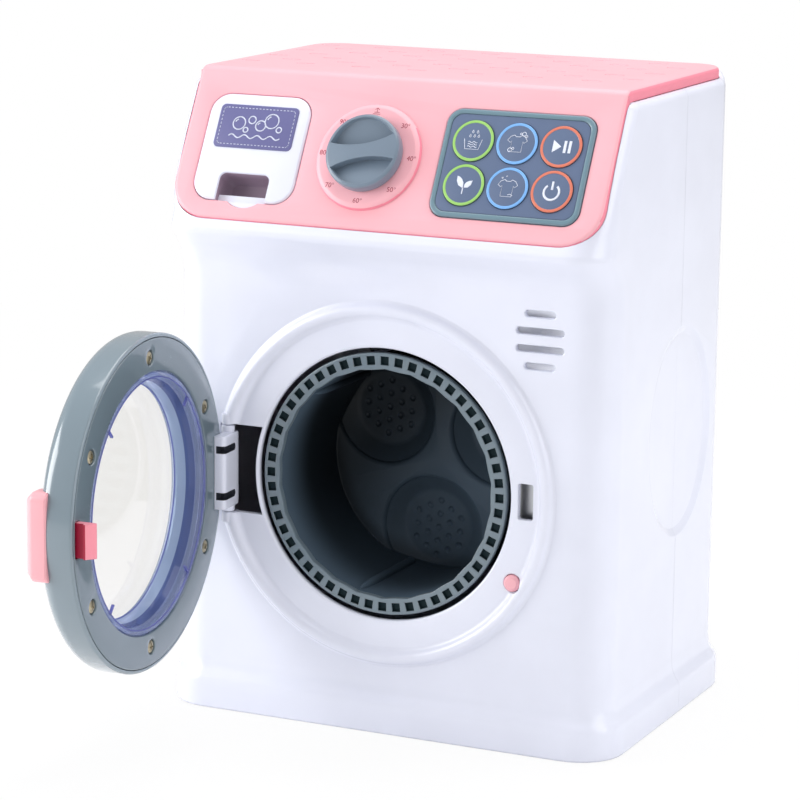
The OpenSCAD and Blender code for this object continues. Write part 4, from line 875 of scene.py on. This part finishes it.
# Hinge: a white ABS arm on the door with a barrel on the pin between the lugs of the body.
# Two slots with round ends are sunk in the arm, each opened by a square notch at its inner end;
# the lugs are moulded on the front shell and stand on soft feet.
arm_line = softened([(-55.15, -0.05, 0.3), (-55.15, -4.7, 1.7), (-68.6, -4.7, 1.2), (-68.6, -0.05, 0.3)], 5)
arm_mid = -62
arm_block = drawn_up([[(x * (1 - g / 300) + arm_mid * g / 300, y, z + (0 if z > -1 else g * 0.5)) for x, z in arm_line]
                      for y, g in ((-14.5, 1.0), (-14.2, 0.3), (-13.7, 0), (13.7, 0), (14.2, 0.3), (14.5, 1.0))])
barrel = lathed(softened([(0, -17.05, 0), (2.6, -17.05, 0.4), (2.6, 17.05, 0.4), (0, 17.05, 0)], 3), 40)
placed(barrel, Matrix.Translation(Vector((-pin_x, 0, -ring_back)) * mm) @ Matrix.Rotation(math.pi / 2, 4, "X"))
carve(arm_block, barrel, "UNION")
slot_y, slot_w = 9.2, 2.9
for y in (-slot_y, slot_y):
    corners = ((-59.5, -5.2), (-54, -5.2), (-54, -0.9), (-59.5, -0.9))
    carve(arm_block, drawn_up([[(x, y + v, z) for x, z in corners] for v in (-slot_w / 2, slot_w / 2)]))
    carve(arm_block, shifted(plate(6.4, slot_w, 1.4, -6, -2.4, 0.1), -61.7, y))
placed(arm_block, door_place)
finish(arm_block, "hinge_leaf", "door_body", white, 35, ["hinge_arm"])
# Painted shade: the faces inside the two slots are painted near-black.
slot_painted_shade = moulded("slot_painted_shade", (0.03, 0.035, 0.05), rough=0.6, wear_and_sheen=0.0)
paint(arm_block, slot_painted_shade,
      lambda p, n: abs(abs(p.y) - slot_y) < 1.5 and -65 < p.x < -55.2 and -4.6 < p.z < -0.8, door_place)
lugs = []
for turn in (math.pi, 0):
    lug = lathed(softened([(0, 17.4, 0), (2.5, 17.4, 0.3), (2.5, 21.6, 0.5), (0, 21.6, 0)], 3), 40)
    carve(lug, shifted(plate(5, 4, 0.3, 17.4, 21.6, 0.3, 0.3, 2), 0, 2.2), "UNION")
    lugs.append(placed(lug, pin @ Matrix.Rotation(turn, 4, "Y")))
finish(joined(lugs), "hinge_lugs", "cabinet", white, 35)

# Drum: a dark slate PP bowl that turns on a steel shaft, open to the front.
# Three round hollows in its back leave a three-armed spider; three low ribs run along the wall.
# The floors of the hollows have rows of small dimples.
hollow_at, hollow_r, wall_r = 29, 20.8, 44.9
dimple_step, field_r = 5.6, 13.0


def painted_drum_shade(place, colour):
    """Painted shade and light on the slate: darkened down the wall and in the hollows of the back, most on the side
    away from the light, and painted lighter near the mouth and on the lit side of the back.
    """
    def times(factor):
        return tuple(factor * c for c in colour)

    flat = place.node("VectorMath", {"operation": "MULTIPLY_ADD"}, {0: place, 1: (1, 0, 1), 2: (0, 0, -drum_z * mm)})
    reach = place.node("VectorMath", {"operation": "LENGTH"}, {0: flat}, out="Value")
    depth = place.node("SeparateXYZ", None, {0: place}, out="Y")
    across = place.node("VectorMath", {"operation": "DOT_PRODUCT"}, {0: flat, 1: (0.7, 0, -0.7)}, out="Value")
    across = across.step(-28 * mm, 24 * mm)
    deep = depth.step((front_y + 2) * mm, (front_y + 30) * mm)
    along = deep.tint(times(1.8), across.tint(times(0.15), times(0.9)))
    hollow = depth.step((front_y + 52.6) * mm, (front_y + 56) * mm)
    back = hollow.tint(across.tint(times(0.35), times(2.1)), across.tint(times(0.3), times(1.9)))
    return reach.step(38 * mm, 45 * mm).tint(back, along)


# The drum's slate carries painted shade and painted light, laid on by the function above.
drum_slate = moulded("drum_slate", (0.048, 0.070, 0.095), rough=0.5, grain=0.06, wear_and_sheen=0.0, shade=painted_drum_shade,
                     specular=0.25)
bowl_line = [(0, 60.4, 0), (46.7, 60.4, 3), (46.7, 3.9, 0.2), (45, 3.9, 0.3), (45, 52, 0.6), (0, 52, 0)]
drum = lathed(softened(bowl_line, 4), 128)
lobes = [math.radians(a) for a in (-265, -145, -25)]
levels = [(1.6, 49), (1.6, 51.9), (1.15, 52.15), (0.5, 52.6), (0.1, 53.3), (0, 54), (-5.2, 58.2),
          (-6.2, 58.85), (-7.4, 59)]
for t in lobes:
    cone = raised(disc(hollow_at * math.cos(t), hollow_at * math.sin(t), hollow_r, 96), levels)
    carve(cone, lathed([(0, 40), (wall_r, 40), (wall_r, 70), (0, 70)], 128), "INTERSECT")
    carve(drum, cone)
for a in (-255, -135, -15):
    t = math.radians(a)
    rib = raised(disc(wall_r * math.cos(t), wall_r * math.sin(t), 0, 24), [(0.3, 6), (1.2, 9), (1.8, 16), (1.8, 52.5)])
    carve(drum, rib, "UNION")
dimples = []
for t, i, j in [(t, i, j) for t in lobes for i in range(-3, 4) for j in range(-3, 4)]:
    x, y = 30 + dimple_step * i + dimple_step / 2 * (j % 2), 4.6 * j
    if math.hypot(x - hollow_at, y) < field_r and math.hypot(x, y) < 43.4 and x > 18:
        spot = disc(x * math.cos(t) - y * math.sin(t), x * math.sin(t) + y * math.cos(t), 0, 12)
        dimples.append(raised(spot, [(1.35, 58.6), (1.35, 59.0), (1.0, 59.5), (0.5, 59.8)]))
carve(drum, joined(dimples))
placed(drum, drum_line(0))
finish(drum, "drum_bowl", "drum_body", drum_slate, 32, ["drum"])

# Drum ring: a paler slate ring pressed on the mouth of the drum, with 52 square pockets.
# Its inner lip is scalloped.
ring_slate = moulded("ring_slate", (0.17, 0.22, 0.26), rough=0.3, coat=0.3, wear_and_sheen=0.3, edge=0.25)
section = [(wall_r, 0.9, 0.3), (51.0, 0.9, 0.6), (51.0, 3.75, 0.3), (wall_r, 3.75, 0.3)]
mouth_ring = lathed(softened(section, 3), 208)
for v in mouth_ring.data.vertices:
    if math.hypot(v.co.x, v.co.y) < 46 * mm:
        scallop = 1 - 0.011 * abs(math.cos(13 * math.atan2(v.co.y, v.co.x)))
        v.co.x, v.co.y = v.co.x * scallop, v.co.y * scallop
pockets, pocket_r = 52, 48.05
levels = ((1.85, 0.2), (1.85, 0.9), (1.65, 1.15), (1.6, 2.6))
boxes = []
for k in range(pockets):
    c, w = math.cos(math.tau * k / pockets), math.sin(math.tau * k / pockets)
    boxes.append(drawn_up([[((pocket_r + u) * c - v * w, (pocket_r + u) * w + v * c, z)
                            for u, v in ((-g, -g), (g, -g), (g, g), (-g, g))] for g, z in levels]))
carve(mouth_ring, joined(boxes))
placed(mouth_ring, drum_line(0))
finish(mouth_ring, "drum_mouth_ring", "drum_body", ring_slate, 32, ["drum_ring"])
# Painted shade: the faces inside the 52 pockets are painted near-black teal.
pocket_painted_shade = moulded("pocket_painted_shade", (0.012, 0.03, 0.038), rough=0.6, wear_and_sheen=0.0, specular=0.2)
paint(mouth_ring, pocket_painted_shade, lambda p, n: 46.0 < math.hypot(p.x, p.y) < 50.1 and 1.1 < p.z < 2.9, drum_line(0))

# Small works: button, speaker, boards, drive, batteries and screws keep the solids of the frame.
# Each takes the finish of its own material; the speaker shows its paper cone.
steel = moulded("steel", (0.55, 0.56, 0.58), rough=0.32, grain=0.08, wear_and_sheen=0.3, edge=0.1, metal=1.0)
bronze = moulded("bronze", (0.42, 0.26, 0.12), rough=0.38, grain=0.08, wear_and_sheen=0.3, edge=0.1, metal=0.9)
board = moulded("circuit_board", (0.03, 0.16, 0.07), rough=0.4, wear_and_sheen=0.2)
rubber = moulded("grey_rubber", (0.22, 0.22, 0.24), rough=0.6, grain=0.15, wear_and_sheen=0.2)
black = moulded("black_abs", (0.02, 0.02, 0.024), rough=0.4, wear_and_sheen=0.3)
wrap = moulded("cell_wrap", (0.03, 0.12, 0.30), rough=0.35, coat=0.3, wear_and_sheen=0.2)
paper_cone = moulded("speaker_paper", (0.92, 0.93, 0.98), rough=0.7, grain=0.2, wear_and_sheen=0.0)
finishes = {"white_plastic": white, "pink_plastic": pink, "slate_plastic": slate, "navy_plastic": pad_face,
            "steel": steel, "label": navy_print, "board": board, "rubber_dome": rubber, "black_plastic": black,
            "clear_plastic": clear, "brass_plated": brass, "bronze": bronze, "cell_wrap": wrap}
for part in frame["record"]["subparts"]:
    ob = frame["nodes"][part["node"]]
    ob.data.materials.clear()
    ob.data.materials.append(finishes[part["material_slot"]] if part["node"] != "speaker" else paper_cone)

# Studio: a white floor that runs into the white of the background, under three soft boxes.
# The floor is white for the camera alone, so that it keeps the machine's shadow.
bpy.ops.mesh.primitive_plane_add(size=16, location=(0, 0, -0.0002))
floor = bpy.context.object
floor.name = "studio_floor"
paper, place, shader = new_material("studio_paper")
shader.inputs["Base Color"].default_value = (0.9, 0.9, 0.9, 1)
shader.inputs["Roughness"].default_value = 0.6
ray = place.node("LightPath", out="Is Camera Ray")
away = place.node("VectorMath", {"operation": "LENGTH"}, {0: place}, out="Value").step(0.25, 0.9)
glow = place.node("Emission", None, {"Color": (1, 1, 1, 1), "Strength": 1.0})
lit = Sock(paper.node_tree, shader.outputs[0])
mixed = place.node("MixShader", None, {0: ray * (away * 0.12 + 0.88), 1: lit, 2: glow})
paper.node_tree.links.new(mixed.out, paper.node_tree.nodes["Material Output"].inputs["Surface"])
floor.data.materials.append(paper)


def lamp(name, spot, size, watts):
    """A soft box that faces the machine's middle."""
    bpy.ops.object.light_add(type="AREA", location=spot)
    box = bpy.context.object
    box.name = name
    box.data.shape = "RECTANGLE"
    box.data.size, box.data.size_y = size
    box.data.energy = watts
    box.rotation_euler = (Vector(spot) - Vector((0, 0, 0.12))).to_track_quat("Z", "Y").to_euler()


lamp("key_box", (-1.4, -0.82, 0.56), (1.0, 1.0), 19.5)
lamp("fill_box", (1.5, -0.3, 0.7), (0.8, 1.2), 6.4)
lamp("top_box", (0.1, 0.2, 1.6), (1.4, 1.4), 19)
world = bpy.data.worlds.new("studio_air")
bpy.context.scene.world = world
world.use_nodes = True
sky = world.node_tree.nodes["Background"]
sky.inputs["Color"].default_value = (1, 1, 1, 1)
level = Sock(world.node_tree, None).node("LightPath", out="Is Camera Ray") * 0.5 + 0.5
world.node_tree.links.new(level.out, sky.inputs["Strength"])
bpy.context.scene.view_settings.view_transform = "Standard"

# Camera: a long lens from the right, a little above the machine and turned by a touch.
# The focal length is given in pixels of the square picture.
azimuth, elevation, roll = (math.radians(a) for a in (24.966, 11.871, 0.639))
aim, distance = Vector((7.07, -65.0, 131.4)) * mm, 1221.3 * mm
picture_px, focal_px = 800, 3236.5
back = Vector((math.sin(azimuth) * math.cos(elevation), -math.cos(azimuth) * math.cos(elevation), math.sin(elevation)))
side = Vector((math.cos(azimuth), math.sin(azimuth), 0))
right = side * math.cos(roll) + back.cross(side) * math.sin(roll)
bpy.ops.object.camera_add()
camera = bpy.context.object
camera.name = "photo_camera"
camera.matrix_world = Matrix((right, back.cross(right), back)).transposed().to_4x4()
camera.location = aim + back * distance
camera.data.sensor_width = 36
camera.data.lens = focal_px / picture_px * camera.data.sensor_width
camera.data.clip_start = 0.05
bpy.context.scene.camera = camera
